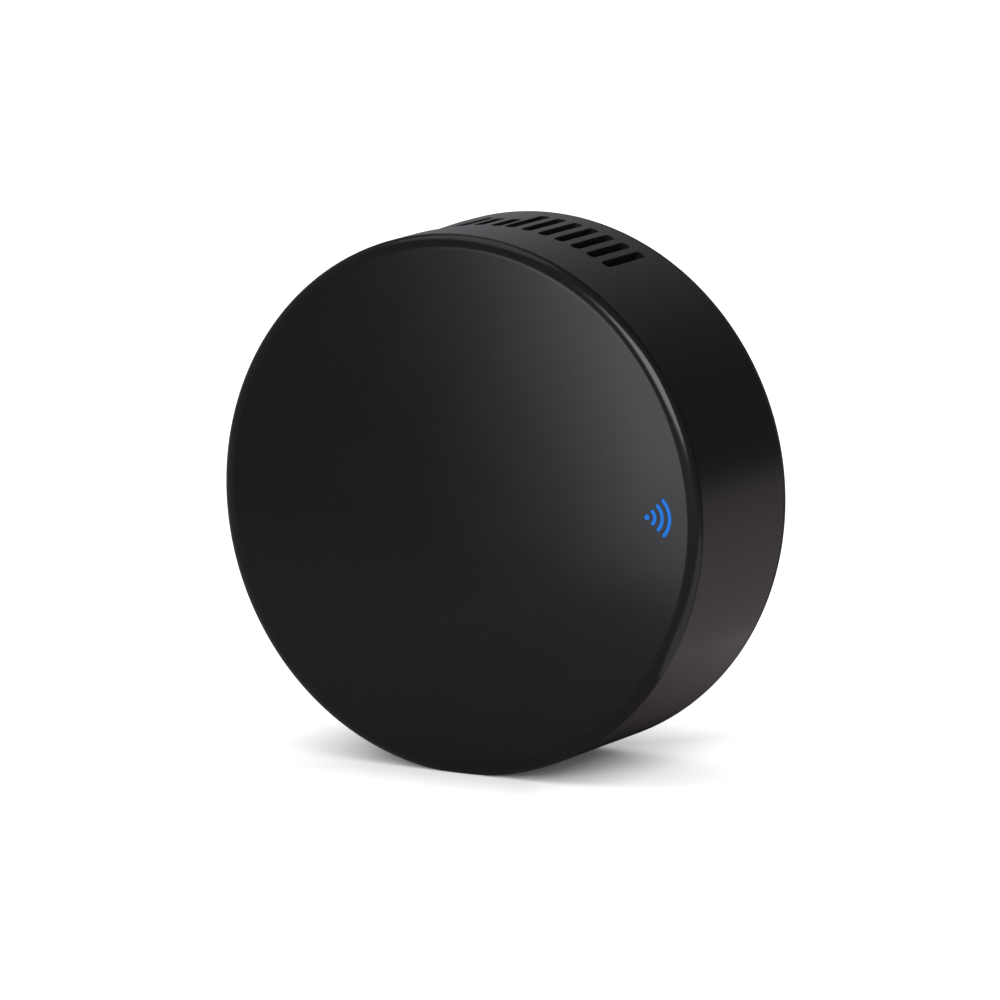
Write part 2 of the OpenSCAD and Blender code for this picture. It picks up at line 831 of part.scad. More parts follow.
front_cover();
body_ring();
base_cover();
foot_ring();
case_screws();
light_guide();
main_board();
board_screws();
usb_shell();
usb_tongue();
usb_contacts();
reset_button();
reset_switch();
switch_plunger();
switch_dome();
wifi_board();
wifi_shield();
wifi_antenna();
status_led();
for (number = [1:led_count + 1])
    ir_led(number);
led_leads();
ir_receiver();
receiver_leads();
smoothing_capacitors();
voltage_regulator();
driver_transistors();
control_chip();
memory_chip();
crystal();
chip_resistors();
chip_capacitors();
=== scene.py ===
import json
import math

import bpy
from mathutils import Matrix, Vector
from mathutils.geometry import delaunay_2d_cdt


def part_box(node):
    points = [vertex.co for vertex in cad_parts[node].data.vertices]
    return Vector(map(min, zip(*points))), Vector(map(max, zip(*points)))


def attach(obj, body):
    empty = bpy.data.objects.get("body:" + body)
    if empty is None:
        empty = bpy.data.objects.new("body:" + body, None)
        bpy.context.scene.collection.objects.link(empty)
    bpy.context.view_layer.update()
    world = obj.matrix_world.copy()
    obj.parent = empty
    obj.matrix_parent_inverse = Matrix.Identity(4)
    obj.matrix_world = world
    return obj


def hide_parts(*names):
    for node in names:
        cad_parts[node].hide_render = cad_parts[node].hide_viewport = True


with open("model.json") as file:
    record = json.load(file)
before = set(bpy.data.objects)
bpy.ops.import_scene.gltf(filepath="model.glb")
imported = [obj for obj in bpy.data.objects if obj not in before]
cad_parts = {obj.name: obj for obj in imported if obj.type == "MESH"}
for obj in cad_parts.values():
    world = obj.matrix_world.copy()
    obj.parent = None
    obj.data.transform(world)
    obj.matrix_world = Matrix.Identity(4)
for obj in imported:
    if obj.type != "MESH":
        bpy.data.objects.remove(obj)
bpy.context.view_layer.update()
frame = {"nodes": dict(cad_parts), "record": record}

# One millimetre in scene units: lengths below are in millimetres unless they say otherwise
MM = 0.001

# Sizes of the puck, from the frame
ring_low, ring_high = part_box("body_ring")
foot_low, foot_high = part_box("foot_ring")
cover_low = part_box("front_cover")[0]
base_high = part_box("base_cover")[1]
guide_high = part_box("light_guide")[1]
PUCK_R = (ring_high.x - ring_low.x) / 2 / MM
PUCK_H = (foot_high.y - cover_low.y) / MM
STAND_R = ring_high.z / MM - PUCK_R
FOOT_PROUD = (foot_high.y - base_high.y) / MM
FOOT_R = (foot_high.x - foot_low.x) / 2 / MM
RING_BACK_Z = (foot_high.y - ring_high.y) / MM

# Sizes that the shells share with the construction
WALL = 1.9
FACE_EDGE_W = 1.75
FACE_EDGE_H = 1.0
JOINT_SHARE = 0.75
JOINT_GAP = 0.12
GROOVE_SHARE = 0.15
COVER_T = 1.6
BASE_T = 1.6
REAR_EDGE_W = 2.2
REAR_EDGE_END = 357
SEAT_GAP = 0.1
FOOT_W = 6.0
FOOT_GROOVE = 0.5
FOOT_ROUND = 0.45
FOOT_STEPS = 10
LABEL_DEPTH = 0.25
LABEL_MARGIN = 4.5
PAD_H = 1.1
HOOK_T = 1.2
HOOK_W = 5.0
HOOK_L = 3.2
BARB_H = 0.9
BARB_W = 0.5
CATCH_H = 0.8
HOOK_COUNT = 6
HOOK_FIRST_ANGLE = 30.0

RING_IN_R = PUCK_R - WALL
FACE_R = PUCK_R - FACE_EDGE_W
GROOVE_R = PUCK_R - GROOVE_SHARE * WALL
SPIGOT_R = RING_IN_R - SEAT_GAP
JOINT_Z = PUCK_H - JOINT_SHARE * FACE_EDGE_H
SEAT_Z = JOINT_Z - JOINT_GAP / 2
LIP_Z = JOINT_Z + JOINT_GAP / 2
COVER_IN_Z = PUCK_H - COVER_T
BASE_IN_Z = FOOT_PROUD + BASE_T
REAR_EDGE_H = RING_BACK_Z - FOOT_PROUD
FOOT_IN_R = FOOT_R - FOOT_W

# Screws, bosses and board posts: angles round the puck in degrees
CASE_SCREW_ANGLES = (106.5, 226.5, 346.5)
BOARD_SCREW_ANGLES = (46.5, 178.5, 292.5)
CASE_SCREW_R = (FOOT_IN_R + FOOT_R) / 2
BOARD_MARGIN = 2.1
BOARD_SCREW_INSET = 5.5
BOARD_SCREW_R = RING_IN_R - BOARD_MARGIN - BOARD_SCREW_INSET
SCREW_R = 1.0
SCREW_HEAD_R = 1.9
SCREW_HEAD_H = 1.1
PAD_R = 3.2
BOSS_R = 2.6
BOSS_H = 3.9
BOSS_WEB_T = 1.4
BOSS_WEB_GAP = 0.8
BOSS_ROOF_T = 0.4
POST_R = 2.5
POST_TOP_Z = (foot_high.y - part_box("main_board")[1].y) / MM
POST_HOLE_DEPTH = 3.4

# Vent slots, power port and button, in degrees round the puck and heights above the foot
VENT_W = 1.2
VENT_L = 9.2
VENT_Z = 9.9
SHORT_VENT_L = 5.8
SHORT_VENT_Z = 11.9
VENT_STEP = 4.0
VENT_NEAR_ANGLE = 86.8
VENT_COUNT = 7
SHORT_VENT_ANGLES = (89.8, 93.8)
FAR_VENT_ANGLE = 130.3
FAR_VENT_COUNT = 6
PORT_ANGLE = 106.5
PORT_W = 11.2
PORT_H = 7.8
PORT_CORNER = 1.2
PORT_Z = 11.75
BUTTON_ANGLE = 121.5
BUTTON_Z = 11.85
BUTTON_HOLE_R = 1.75
BUTTON_R = 1.7
BUTTON_PROUD = 0.3
BUTTON_STEM_R = 0.9
BUTTON_STEM_GAP = 0.65
BUTTON_STEM_IN_R = RING_IN_R - BOARD_MARGIN + BUTTON_STEM_GAP
BUTTON_FLANGE_W = 0.6
BUTTON_FLANGE_T = 0.55
BUTTON_FLANGE_GAP = 0.3
BUTTON_EDGE = 0.28
BUTTON_EDGE_END = 68
BUTTON_EDGE_STEPS = 8
BUTTON_CROWN = 0.08
BUTTON_CROWN_STEPS = 9
VENT_LIP = 0.06
PORT_LIP = 0.1
BUTTON_LIP = 0.12

# Signal mark, round the dot
MARK_ANGLE = 2.3
MARK_R = PUCK_R - 6.8
DOT_R = 0.33
ARC_RADII = (1.0, 1.96, 2.92)
ARC_HALF_STROKE = 0.22
ARC_HALF_ANGLE = 43.5
MARK_GAP = 0.02
MARK_LIP = 0.03
MARK_PLATE_T = 0.8
MARK_PLATE_W = 5.96
MARK_PLATE_MARGIN = 0.6
MARK_POST_OUT = 0.5
MARK_POST_W = 3.2

# Small chamfers and rounds of the shells
RING_CHAMFER = 0.1
BASE_SOFT = 0.12

# Fineness of the meshes, and their smallest lengths
COLUMNS = 240
BOSS_COLUMNS = 32
HOLE_COLUMNS = 40
BUTTON_COLUMNS = 64
WALL_ROWS = 8
EDGE_STEPS = 20
LIP_STEPS = 4
CAP_STEPS = 10
SOFT_STEPS = 6
AXIS_R = 0.001
MERGE_LENGTH = 1e-7
HOLE_MARGIN = 0.2
SMOOTH_LIMIT = 0.2


def radians(angle):
    return angle * math.pi / 180


def to_scene(p):
    """A point of the puck on its back, foot at z = 0, as a point of the standing puck in metres."""
    return Vector((p[0], PUCK_H / 2 - p[2], STAND_R + max(p[1], -STAND_R))) * MM


def direction_to_scene(n):
    return Vector((n[0], -n[2], n[1])).normalized()


def polar(angle, radius, z):
    return (radius * math.cos(angle), radius * math.sin(angle), z)


class Shell:
    """Points and faces of one piece, with a normal for each corner, in the puck's own axes."""

    def __init__(self):
        self.points = []
        self.faces = []
        self.normals = []
        self.material_indices = []
        self.material_index = 0

    def point(self, p):
        self.points.append(p)
        return len(self.points) - 1

    def face(self, ids, normals=None):
        ids = list(ids)
        if len(set(ids)) < 3:
            return
        self.faces.append(ids)
        self.normals.append(normals)
        self.material_indices.append(self.material_index)

    def strip(self, low, high, low_normals=None, high_normals=None, closed=True):
        """Quads between two rows of points, the first row below or outside the second."""
        count = len(low)
        for i in range(count if closed else count - 1):
            j = (i + 1) % count
            normals = None
            if low_normals:
                normals = [low_normals[i], low_normals[j], high_normals[j], high_normals[i]]
            self.face((low[i], low[j], high[j], high[i]), normals)

    def strips(self, rows):
        """Strips along rows of points that each come with their normals."""
        for (low, low_normals), (high, high_normals) in zip(rows, rows[1:]):
            self.strip(low, high, low_normals, high_normals)

    def build(self, name, material, body, nodes, slot, second_material=None):
        """Makes the piece. Faces made while material_index is 1 get the second material."""
        mesh = bpy.data.meshes.new(name)
        mesh.from_pydata([to_scene(p) for p in self.points], [], self.faces)
        custom = []
        for polygon, normals in zip(mesh.polygons, self.normals):
            polygon.use_smooth = True
            flat = polygon.normal.copy()
            for k in range(len(polygon.vertices)):
                corner = direction_to_scene(normals[k]) if normals else flat
                custom.append(corner if corner.dot(flat) > SMOOTH_LIMIT else flat)
        mesh.normals_split_custom_set(custom)
        mesh.materials.append(material)
        if second_material:
            mesh.materials.append(second_material)
            mesh.polygons.foreach_set("material_index", self.material_indices)
        piece = bpy.data.objects.new(name, mesh)
        bpy.context.scene.collection.objects.link(piece)
        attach(piece, body)
        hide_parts(*nodes)


def circle(count):
    """Angles round a full circle."""
    return [2 * math.pi * i / count for i in range(count)]


# Columns of the covers and the foot, and of the rim from a seam under the puck round to it
TURNS = circle(COLUMNS)
RIM_TURNS = [2 * math.pi * i / COLUMNS - math.pi / 2 for i in range(COLUMNS + 1)]


def ring_of(shell, radius, z, turns=TURNS, centre=(0.0, 0.0)):
    """A full circle of points round an axis along z."""
    return [shell.point((centre[0] + radius * math.cos(turn),
                         centre[1] + radius * math.sin(turn), z)) for turn in turns]


def turned(normal, turns):
    """A profile normal (out, up) at each column."""
    return [(normal[0] * math.cos(turn), normal[0] * math.sin(turn), normal[1])
            for turn in turns]


def flat_normal(a, b):
    length = math.hypot(b[0] - a[0], b[1] - a[1])
    return ((b[1] - a[1]) / length, -(b[0] - a[0]) / length)


def lathe(shell, profile, turns=TURNS, centre=(0.0, 0.0), first=None, last=None):
    """Turns a profile of (radius, z) points, with outside on its right, into strips.

    A point may carry its own normal as a third item: the strips beside it are then smooth.
    first and last are rows of points that exist already. Returns the first and last rows."""
    rows = []
    for k, item in enumerate(profile):
        if k == 0 and first is not None:
            rows.append(first)
        elif k == len(profile) - 1 and last is not None:
            rows.append(last)
        else:
            rows.append(ring_of(shell, item[0], item[1], turns, centre))
    for k in range(len(profile) - 1):
        a, b = profile[k], profile[k + 1]
        flat = flat_normal(a, b)
        low = turned(a[2] if len(a) > 2 else flat, turns)
        high = turned(b[2] if len(b) > 2 else flat, turns)
        shell.strip(rows[k], rows[k + 1], low, high)
    return rows[0], rows[-1]


def ellipse_run(centre, half_w, half_h, start, end, steps=EDGE_STEPS):
    """Points of an ellipse's arc in a profile, each with its own normal."""
    run = []
    for i in range(steps + 1):
        t = radians(start + (end - start) * i / steps)
        normal = Vector((math.cos(t) / half_w, math.sin(t) / half_h)).normalized()
        run.append((centre[0] + half_w * math.cos(t), centre[1] + half_h * math.sin(t),
                    (normal.x, normal.y)))
    return run


# Outlines of holes, run counter-clockwise and widened by grow. Each point is (across, along,
# normal across, normal along)
def arc_points(centre, radius, start, end, steps):
    points = []
    for i in range(steps + 1):
        t = radians(start + (end - start) * i / steps)
        points.append((centre[0] + radius * math.cos(t), centre[1] + radius * math.sin(t),
                       math.cos(t), math.sin(t)))
    return points


def slot_outline(width, length):
    half = (length - width) / 2

    def outline(grow):
        radius = width / 2 + grow
        return (arc_points((0, half), radius, 0, 180, CAP_STEPS)
                + arc_points((0, -half), radius, 180, 360, CAP_STEPS))
    return outline


def rectangle_outline(width, length, corner):
    x, y = width / 2 - corner, length / 2 - corner

    def outline(grow):
        radius = corner + grow
        return (arc_points((x, -y), radius, -90, 0, CAP_STEPS)
                + arc_points((x, y), radius, 0, 90, CAP_STEPS)
                + arc_points((-x, y), radius, 90, 180, CAP_STEPS)
                + arc_points((-x, -y), radius, 180, 270, CAP_STEPS))
    return outline


def circle_outline(radius, steps=48):
    def outline(grow):
        return arc_points((0, 0), radius + grow, 0, 360 - 360 / steps, steps - 1)
    return outline


def arc_outline(radius, half_stroke, half_angle, steps=20):
    """A curved slot with round ends, round the origin."""
    def outline(grow):
        half = half_stroke + grow
        top = (radius * math.cos(radians(half_angle)), radius * math.sin(radians(half_angle)))
        low = (top[0], -top[1])
        outer = arc_points((0, 0), radius + half, -half_angle, half_angle, steps)
        top_cap = arc_points(top, half, half_angle, half_angle + 180, CAP_STEPS)[1:-1]
        inner = [(x, y, -a, -b) for x, y, a, b in
                 arc_points((0, 0), radius - half, half_angle, -half_angle, steps)]
        low_cap = arc_points(low, half, 180 - half_angle, 360 - half_angle, CAP_STEPS)[1:-1]
        return outer + top_cap + inner + low_cap
    return outline


def inside(x, y, loop):
    """Whether a point lies inside a closed loop of points."""
    hit = False
    for (x0, y0), (x1, y1) in zip(loop, loop[1:] + loop[:1]):
        if (y0 > y) != (y1 > y) and x < (x1 - x0) * (y - y0) / (y1 - y0) + x0:
            hit = not hit
    return hit


def fill(border, loops, extra=()):
    """Triangles of a flat region with holes, between the points of border, loops and extra."""
    points = []
    edges = []
    for loop in [border, *loops]:
        start = len(points)
        points.extend(loop)
        edges.extend((start + i, start + (i + 1) % len(loop)) for i in range(len(loop)))
    points.extend(extra)
    result = delaunay_2d_cdt([Vector(p) for p in points], edges, [], 0, MERGE_LENGTH)
    out, triangles, origins = result[0], result[2], result[3]
    ids = [o[0] for o in origins]
    kept = []
    for triangle in triangles:
        x = sum(out[i].x for i in triangle) / 3
        y = sum(out[i].y for i in triangle) / 3
        if inside(x, y, border) and not any(inside(x, y, loop) for loop in loops):
            kept.append([ids[i] for i in triangle])
    return kept


class RimHole:
    """A hole through the body ring: its outline, its place round the rim and its rounded lip."""

    def __init__(self, outline, angle, z, lip):
        self.outline = outline
        self.angle = radians(angle)
        self.z = z
        self.lip = lip

    def row(self, shell, grow, radius):
        """Points of the outline at a radius, and where they lie in the unrolled wall."""
        ids, flat = [], []
        for across, along, _, _ in self.outline(grow):
            turn = self.angle + math.asin(across / radius)
            ids.append(shell.point(polar(turn, radius, self.z + along)))
            flat.append((turn * PUCK_R, self.z + along))
        return ids, flat

    def normals(self, share):
        """From straight out of the wall (share 0) to across the hole (share 1)."""
        out, across = math.cos(share * math.pi / 2), math.sin(share * math.pi / 2)
        found = []
        for x, _, nx, nz in self.outline(0):
            turn = self.angle + math.asin(x / PUCK_R)
            radial = Vector((math.cos(turn), math.sin(turn), 0))
            tangent = Vector((-math.sin(turn), math.cos(turn), 0))
            found.append(radial * out - (tangent * nx + Vector((0, 0, nz))) * across)
        return found


def close_to(loop, x, y):
    """Whether a point lies in a loop's box or close to it."""
    return all(min(row) - HOLE_MARGIN < value < max(row) + HOLE_MARGIN
               for row, value in zip(zip(*loop), (x, y)))


def levels(low, high):
    return [low + (high - low) * j / (WALL_ROWS - 1) for j in range(WALL_ROWS)]


def rim_wall(shell, radius, rows_z, holes, outward):
    """One cylindrical face of the ring, with its holes. Returns its lowest and highest rows."""
    grid = {}
    for j, z in enumerate(rows_z):
        for i in range(COLUMNS):
            grid[i, j] = shell.point(polar(RIM_TURNS[i], radius, z))
        grid[COLUMNS, j] = grid[0, j]
    last = len(rows_z) - 1
    border_keys = ([(i, 0) for i in range(COLUMNS + 1)]
                   + [(COLUMNS, j) for j in range(1, last)]
                   + [(i, last) for i in range(COLUMNS, -1, -1)]
                   + [(0, j) for j in range(last - 1, 0, -1)])
    border = [(RIM_TURNS[i] * PUCK_R, rows_z[j]) for i, j in border_keys]
    loops = [flat for _, flat in holes]
    extra_keys = []
    for i in range(1, COLUMNS):
        for j in range(1, last):
            x, y = RIM_TURNS[i] * PUCK_R, rows_z[j]
            if not any(close_to(loop, x, y) for loop in loops):
                extra_keys.append((i, j))
    extra = [(RIM_TURNS[i] * PUCK_R, rows_z[j]) for i, j in extra_keys]
    ids = ([grid[key] for key in border_keys] + [i for row, _ in holes for i in row]
           + [grid[key] for key in extra_keys])
    sign = 1 if outward else -1
    for triangle in fill(border, loops, extra):
        corners = [ids[i] for i in triangle]
        if not outward:
            corners.reverse()
        normals = [(sign * shell.points[c][0], sign * shell.points[c][1], 0) for c in corners]
        shell.face(corners, normals)
    return ([grid[i, 0] for i in range(COLUMNS)], [grid[i, last] for i in range(COLUMNS)])


def sector(shell, angle, inner, outer, low_z, high_z, width, steps=12):
    """A closed piece of ring, as wide as the given chord, such as a snap hook."""
    middle = radians(angle)
    rows = {}
    for radius in (inner, outer):
        half = math.asin(width / 2 / radius)
        for z in (low_z, high_z):
            rows[radius, z] = [shell.point(polar(middle - half + 2 * half * i / steps, radius, z))
                               for i in range(steps + 1)]
    shell.strip(rows[outer, low_z], rows[outer, high_z], closed=False)
    shell.strip(rows[inner, high_z], rows[inner, low_z], closed=False)
    shell.strip(rows[outer, high_z], rows[inner, high_z], closed=False)
    shell.strip(rows[inner, low_z], rows[outer, low_z], closed=False)
    for end in (0, steps):
        ids = [rows[inner, low_z][end], rows[outer, low_z][end],
               rows[outer, high_z][end], rows[inner, high_z][end]]
        shell.face(ids if end == 0 else reversed(ids))


def block(shell, angle, near, far, width, low_z, high_z):
    """A closed radial block, such as a boss's web."""
    turn = radians(angle)
    x, y = math.cos(turn), math.sin(turn)

    def corner(radius, across, z):
        return shell.point((x * radius - y * across, y * radius + x * across, z))
    half = width / 2
    ids = [corner(r, a, z) for z in (low_z, high_z)
           for r, a in ((near, -half), (far, -half), (far, half), (near, half))]
    for quad in ((3, 2, 1, 0), (4, 5, 6, 7), (0, 1, 5, 4), (1, 2, 6, 5), (2, 3, 7, 6),
                 (3, 0, 4, 7)):
        shell.face([ids[i] for i in quad])


def ramp_node(nodes, links, value, start, end, low, high):
    ramp = nodes.new("ShaderNodeMapRange")
    for name, number in (("From Min", start), ("From Max", end), ("To Min", low), ("To Max", high)):
        ramp.inputs[name].default_value = number
    links.new(value, ramp.inputs["Value"])
    return ramp.outputs["Result"]


def span_node(nodes, links, axis, span, low, high):
    """A ramp along an axis, over a span in millimetres."""
    return ramp_node(nodes, links, axis, span[0] * MM, span[1] * MM, low, high)


def mix_node(nodes, links, value, first, second):
    """A colour between two. The numbered sockets are those of a Mix node that mixes colours."""
    mix = nodes.new("ShaderNodeMix")
    mix.data_type = "RGBA"
    mix.inputs[6].default_value = (*first, 1)
    mix.inputs[7].default_value = (*second, 1)
    links.new(value, mix.inputs[0])
    return mix.outputs[2]


def math_node(nodes, links, operation, first, second=None, third=None):
    node = nodes.new("ShaderNodeMath")
    node.operation = operation
    for slot, value in zip(node.inputs, (first, second, third)):
        if isinstance(value, (int, float)):
            slot.default_value = value
        elif value is not None:
            links.new(value, slot)
    return node.outputs[0]


def object_axes(nodes, links):
    """X, Y and Z of a point, in its object's own coordinates."""
    place = nodes.new("ShaderNodeTexCoord")
    split = nodes.new("ShaderNodeSeparateXYZ")
    links.new(place.outputs["Object"], split.inputs[0])
    return split.outputs


# The part of a noise's range that most of its values lie in
NOISE_MIDDLE = (0.3, 0.7)
MIN_ROUGHNESS = 0.02

# Size of the cells between a board's tracks, and the share of a cell that its track takes
TRACK_CELL = 2.2
TRACK_SHARE = 0.16


def scaled(colour, factor, lift=0.0):
    return tuple(c * factor + lift for c in colour)


class Finish:
    """A procedural material: a principled shader whose colour, roughness and relief vary."""

    def __init__(self, name, colour, roughness, metallic=0.0, specular=0.5):
        self.material = bpy.data.materials.new(name)
        self.material.use_nodes = True
        self.nodes = self.material.node_tree.nodes
        self.links = self.material.node_tree.links
        self.shader = self.nodes["Principled BSDF"]
        self.shader.inputs["Base Color"].default_value = (*colour, 1)
        self.shader.inputs["Roughness"].default_value = roughness
        self.shader.inputs["Metallic"].default_value = metallic
        self.shader.inputs["Specular IOR Level"].default_value = specular
        self.coordinates = self.nodes.new("ShaderNodeTexCoord")
        self.colour = colour
        self.roughness = roughness
        self.height = None

    def noise(self, size_mm, detail=3.0, stretch=(1, 1, 1)):
        """Noise whose features are about size_mm across."""
        mapping = self.nodes.new("ShaderNodeMapping")
        mapping.inputs["Scale"].default_value = stretch
        noise = self.nodes.new("ShaderNodeTexNoise")
        noise.inputs["Scale"].default_value = 1 / (size_mm * MM)
        noise.inputs["Detail"].default_value = detail
        self.links.new(self.coordinates.outputs["Object"], mapping.inputs["Vector"])
        self.links.new(mapping.outputs["Vector"], noise.inputs["Vector"])
        return noise.outputs["Fac"]

    def spread(self, value, low, high):
        """Maps the middle of a noise to a range."""
        return ramp_node(self.nodes, self.links, value, *NOISE_MIDDLE, low, high)

    def vary_roughness(self, value, amount):
        low, high = max(self.roughness - amount, MIN_ROUGHNESS), min(self.roughness + amount, 1)
        self.links.new(self.spread(value, low, high), self.shader.inputs["Roughness"])

    def vary_colour(self, value, other):
        mixed = mix_node(self.nodes, self.links, self.spread(value, 0, 1), self.colour, other)
        self.links.new(mixed, self.shader.inputs["Base Color"])

    def relief(self, value, height_mm, strength=1.0):
        bump = self.nodes.new("ShaderNodeBump")
        bump.inputs["Strength"].default_value = strength
        bump.inputs["Distance"].default_value = height_mm * MM
        self.links.new(value, bump.inputs["Height"])
        if self.height is not None:
            self.links.new(self.height, bump.inputs["Normal"])
        self.height = bump.outputs["Normal"]
        self.links.new(self.height, self.shader.inputs["Normal"])

    def glow(self, colour, strength):
        self.shader.inputs["Emission Color"].default_value = (*colour, 1)
        self.shader.inputs["Emission Strength"].default_value = strength

    def clear(self, weight, ior=1.5):
        self.shader.inputs["Transmission Weight"].default_value = weight
        self.shader.inputs["IOR"].default_value = ior


def gloss_shell(name, colour, roughness, specular):
    """Polished moulded plastic: faint orange peel, a little haze and fine specks."""
    finish = Finish(name, colour, roughness, specular=specular)
    finish.vary_roughness(finish.noise(9, detail=4), amount=0.02)
    finish.vary_colour(finish.noise(0.35, detail=2), scaled(colour, 1.5, lift=0.001))
    finish.relief(finish.noise(1.6, detail=2), height_mm=0.0006)
    return finish.material


def textured_shell(name, colour):
    """Spark-eroded matt texture of the base."""
    finish = Finish(name, colour, 0.62, specular=0.3)
    finish.vary_roughness(finish.noise(0.5, detail=4), amount=0.1)
    finish.vary_colour(finish.noise(0.28, detail=3), scaled(colour, 1.6, lift=0.004))
    finish.relief(finish.noise(0.16, detail=4), height_mm=0.012)
    return finish.material


def rubber(name, colour):
    finish = Finish(name, colour, 0.8, specular=0.25)
    finish.vary_roughness(finish.noise(1.2, detail=4), amount=0.08)
    finish.vary_colour(finish.noise(0.6, detail=4), scaled(colour, 1.5, lift=0.004))
    finish.relief(finish.noise(0.22, detail=3), height_mm=0.008)
    return finish.material


def metal(name, colour, roughness, stretch=(1, 1, 1)):
    finish = Finish(name, colour, roughness, metallic=1.0)
    finish.vary_roughness(finish.noise(0.5, detail=4, stretch=stretch), amount=0.1)
    finish.vary_colour(finish.noise(1.1, detail=3), scaled(colour, 0.86))
    finish.relief(finish.noise(0.18, detail=3, stretch=stretch), height_mm=0.002)
    return finish.material


def moulding(name, colour, roughness=0.5):
    """Moulded chip packages and small plastic parts."""
    finish = Finish(name, colour, roughness, specular=0.4)
    finish.vary_roughness(finish.noise(0.3, detail=4), amount=0.08)
    finish.vary_colour(finish.noise(0.4, detail=3), scaled(colour, 1.35, lift=0.003))
    finish.relief(finish.noise(0.1, detail=3), height_mm=0.003)
    return finish.material


def board_finish(name, mask, track):
    """Solder mask over copper: the tracks show as a slightly lighter, raised mesh."""
    finish = Finish(name, mask, 0.35, specular=0.5)
    cells = finish.nodes.new("ShaderNodeTexVoronoi")
    cells.feature = "DISTANCE_TO_EDGE"
    cells.inputs["Scale"].default_value = 1 / (TRACK_CELL * MM)
    finish.links.new(finish.coordinates.outputs["Object"], cells.inputs["Vector"])
    edge = ramp_node(finish.nodes, finish.links, cells.outputs["Distance"], 0, TRACK_SHARE,
                     *reversed(NOISE_MIDDLE))
    finish.vary_colour(edge, track)
    finish.vary_roughness(finish.noise(0.8, detail=3), amount=0.06)
    finish.relief(edge, height_mm=0.02)
    return finish.material


def resin(name):
    finish = Finish(name, (0.86, 0.88, 0.95), 0.06)
    finish.clear(0.95, ior=1.52)
    finish.vary_roughness(finish.noise(1.0, detail=3), amount=0.03)
    finish.relief(finish.noise(0.8, detail=2), height_mm=0.001)
    return finish.material


def lit_mark(name, colour):
    """Clear insert lit from behind, a little brighter in patches."""
    finish = Finish(name, scaled(colour, 0.3), 0.3, specular=0.2)
    finish.glow(colour, strength=1.0)
    patches = finish.spread(finish.noise(0.7, detail=2), 0, 1)
    glow = mix_node(finish.nodes, finish.links, patches, scaled(colour, 0.9), scaled(colour, 1.08))
    finish.links.new(glow, finish.shader.inputs["Emission Color"])
    finish.vary_roughness(finish.noise(0.4, detail=2), amount=0.05)
    finish.relief(finish.noise(0.3, detail=2), height_mm=0.001)
    return finish.material


# Finishes by the record's slots
COVER = gloss_shell("cover_gloss", (0.0017, 0.0016, 0.0018), roughness=0.17, specular=0.28)
RING = gloss_shell("ring_gloss", (0.0028, 0.0023, 0.0025), roughness=0.26, specular=0.34)
BUTTON = gloss_shell("button_gloss", (0.003, 0.0026, 0.0028), roughness=0.26, specular=0.34)
# Painted shade: the walls inside the rim's holes are the ring's black made darker, and matt, so
# that the slots and the port look deep
HOLE_WALL_SHADE = rubber("hole_wall_shade", (0.0012, 0.0011, 0.0012))
BASE = textured_shell("base_matte", (0.010, 0.010, 0.0105))
FOOT = rubber("foot_rubber", (0.014, 0.014, 0.0145))
MARK = lit_mark("mark_blue", (0.001, 0.115, 0.47))
FINISHES = {
    "screw_steel": metal("screw_steel", (0.45, 0.45, 0.46), 0.35),
    "tin_plate": metal("tin_plate", (0.62, 0.62, 0.63), 0.3, (1, 6, 1)),
    "gold_plate": metal("gold_plate", (0.83, 0.6, 0.25), 0.25),
    "chip_black": moulding("chip_black", (0.012, 0.012, 0.013)),
    "board_green": board_finish("board_green", (0.006, 0.05, 0.02), (0.012, 0.09, 0.035)),
    "module_board": board_finish("module_board", (0.006, 0.02, 0.07), (0.012, 0.04, 0.12)),
    "diode_white": moulding("diode_white", (0.75, 0.75, 0.7), 0.4),
    "diode_resin": resin("diode_resin"),
    "can_aluminium": metal("can_aluminium", (0.7, 0.7, 0.72), 0.28, (1, 8, 1)),
    "chip_ceramic": moulding("chip_ceramic", (0.4, 0.26, 0.13), 0.45),
}


def edge_run(start_z, end_z):
    """The rounded edge round the face, between two heights, as a smooth run of a profile."""
    def angle(z):
        return math.degrees(math.asin(1 - (PUCK_H - z) / FACE_EDGE_H))
    return ellipse_run((FACE_R, PUCK_H - FACE_EDGE_H), FACE_EDGE_W, FACE_EDGE_H,
                       angle(start_z), angle(end_z))


def mark_outlines():
    return [circle_outline(DOT_R)] + [arc_outline(radius, ARC_HALF_STROKE, ARC_HALF_ANGLE)
                                      for radius in ARC_RADII]


def mark_place(x, y):
    turn = radians(MARK_ANGLE)
    x += MARK_R
    return (x * math.cos(turn) - y * math.sin(turn), x * math.sin(turn) + y * math.cos(turn))


def mark_row(shell, outline, grow, z):
    flat = [mark_place(p[0], p[1]) for p in outline(grow)]
    return [shell.point((x, y, z)) for x, y in flat], flat


def mark_normals(outline, out, up):
    """Normals that lean from straight up towards the hole's inside or outside."""
    turn = radians(MARK_ANGLE)
    found = []
    for _, _, nx, ny in outline(0):
        x = nx * math.cos(turn) - ny * math.sin(turn)
        y = nx * math.sin(turn) + ny * math.cos(turn)
        found.append((x * out, y * out, up))
    return found


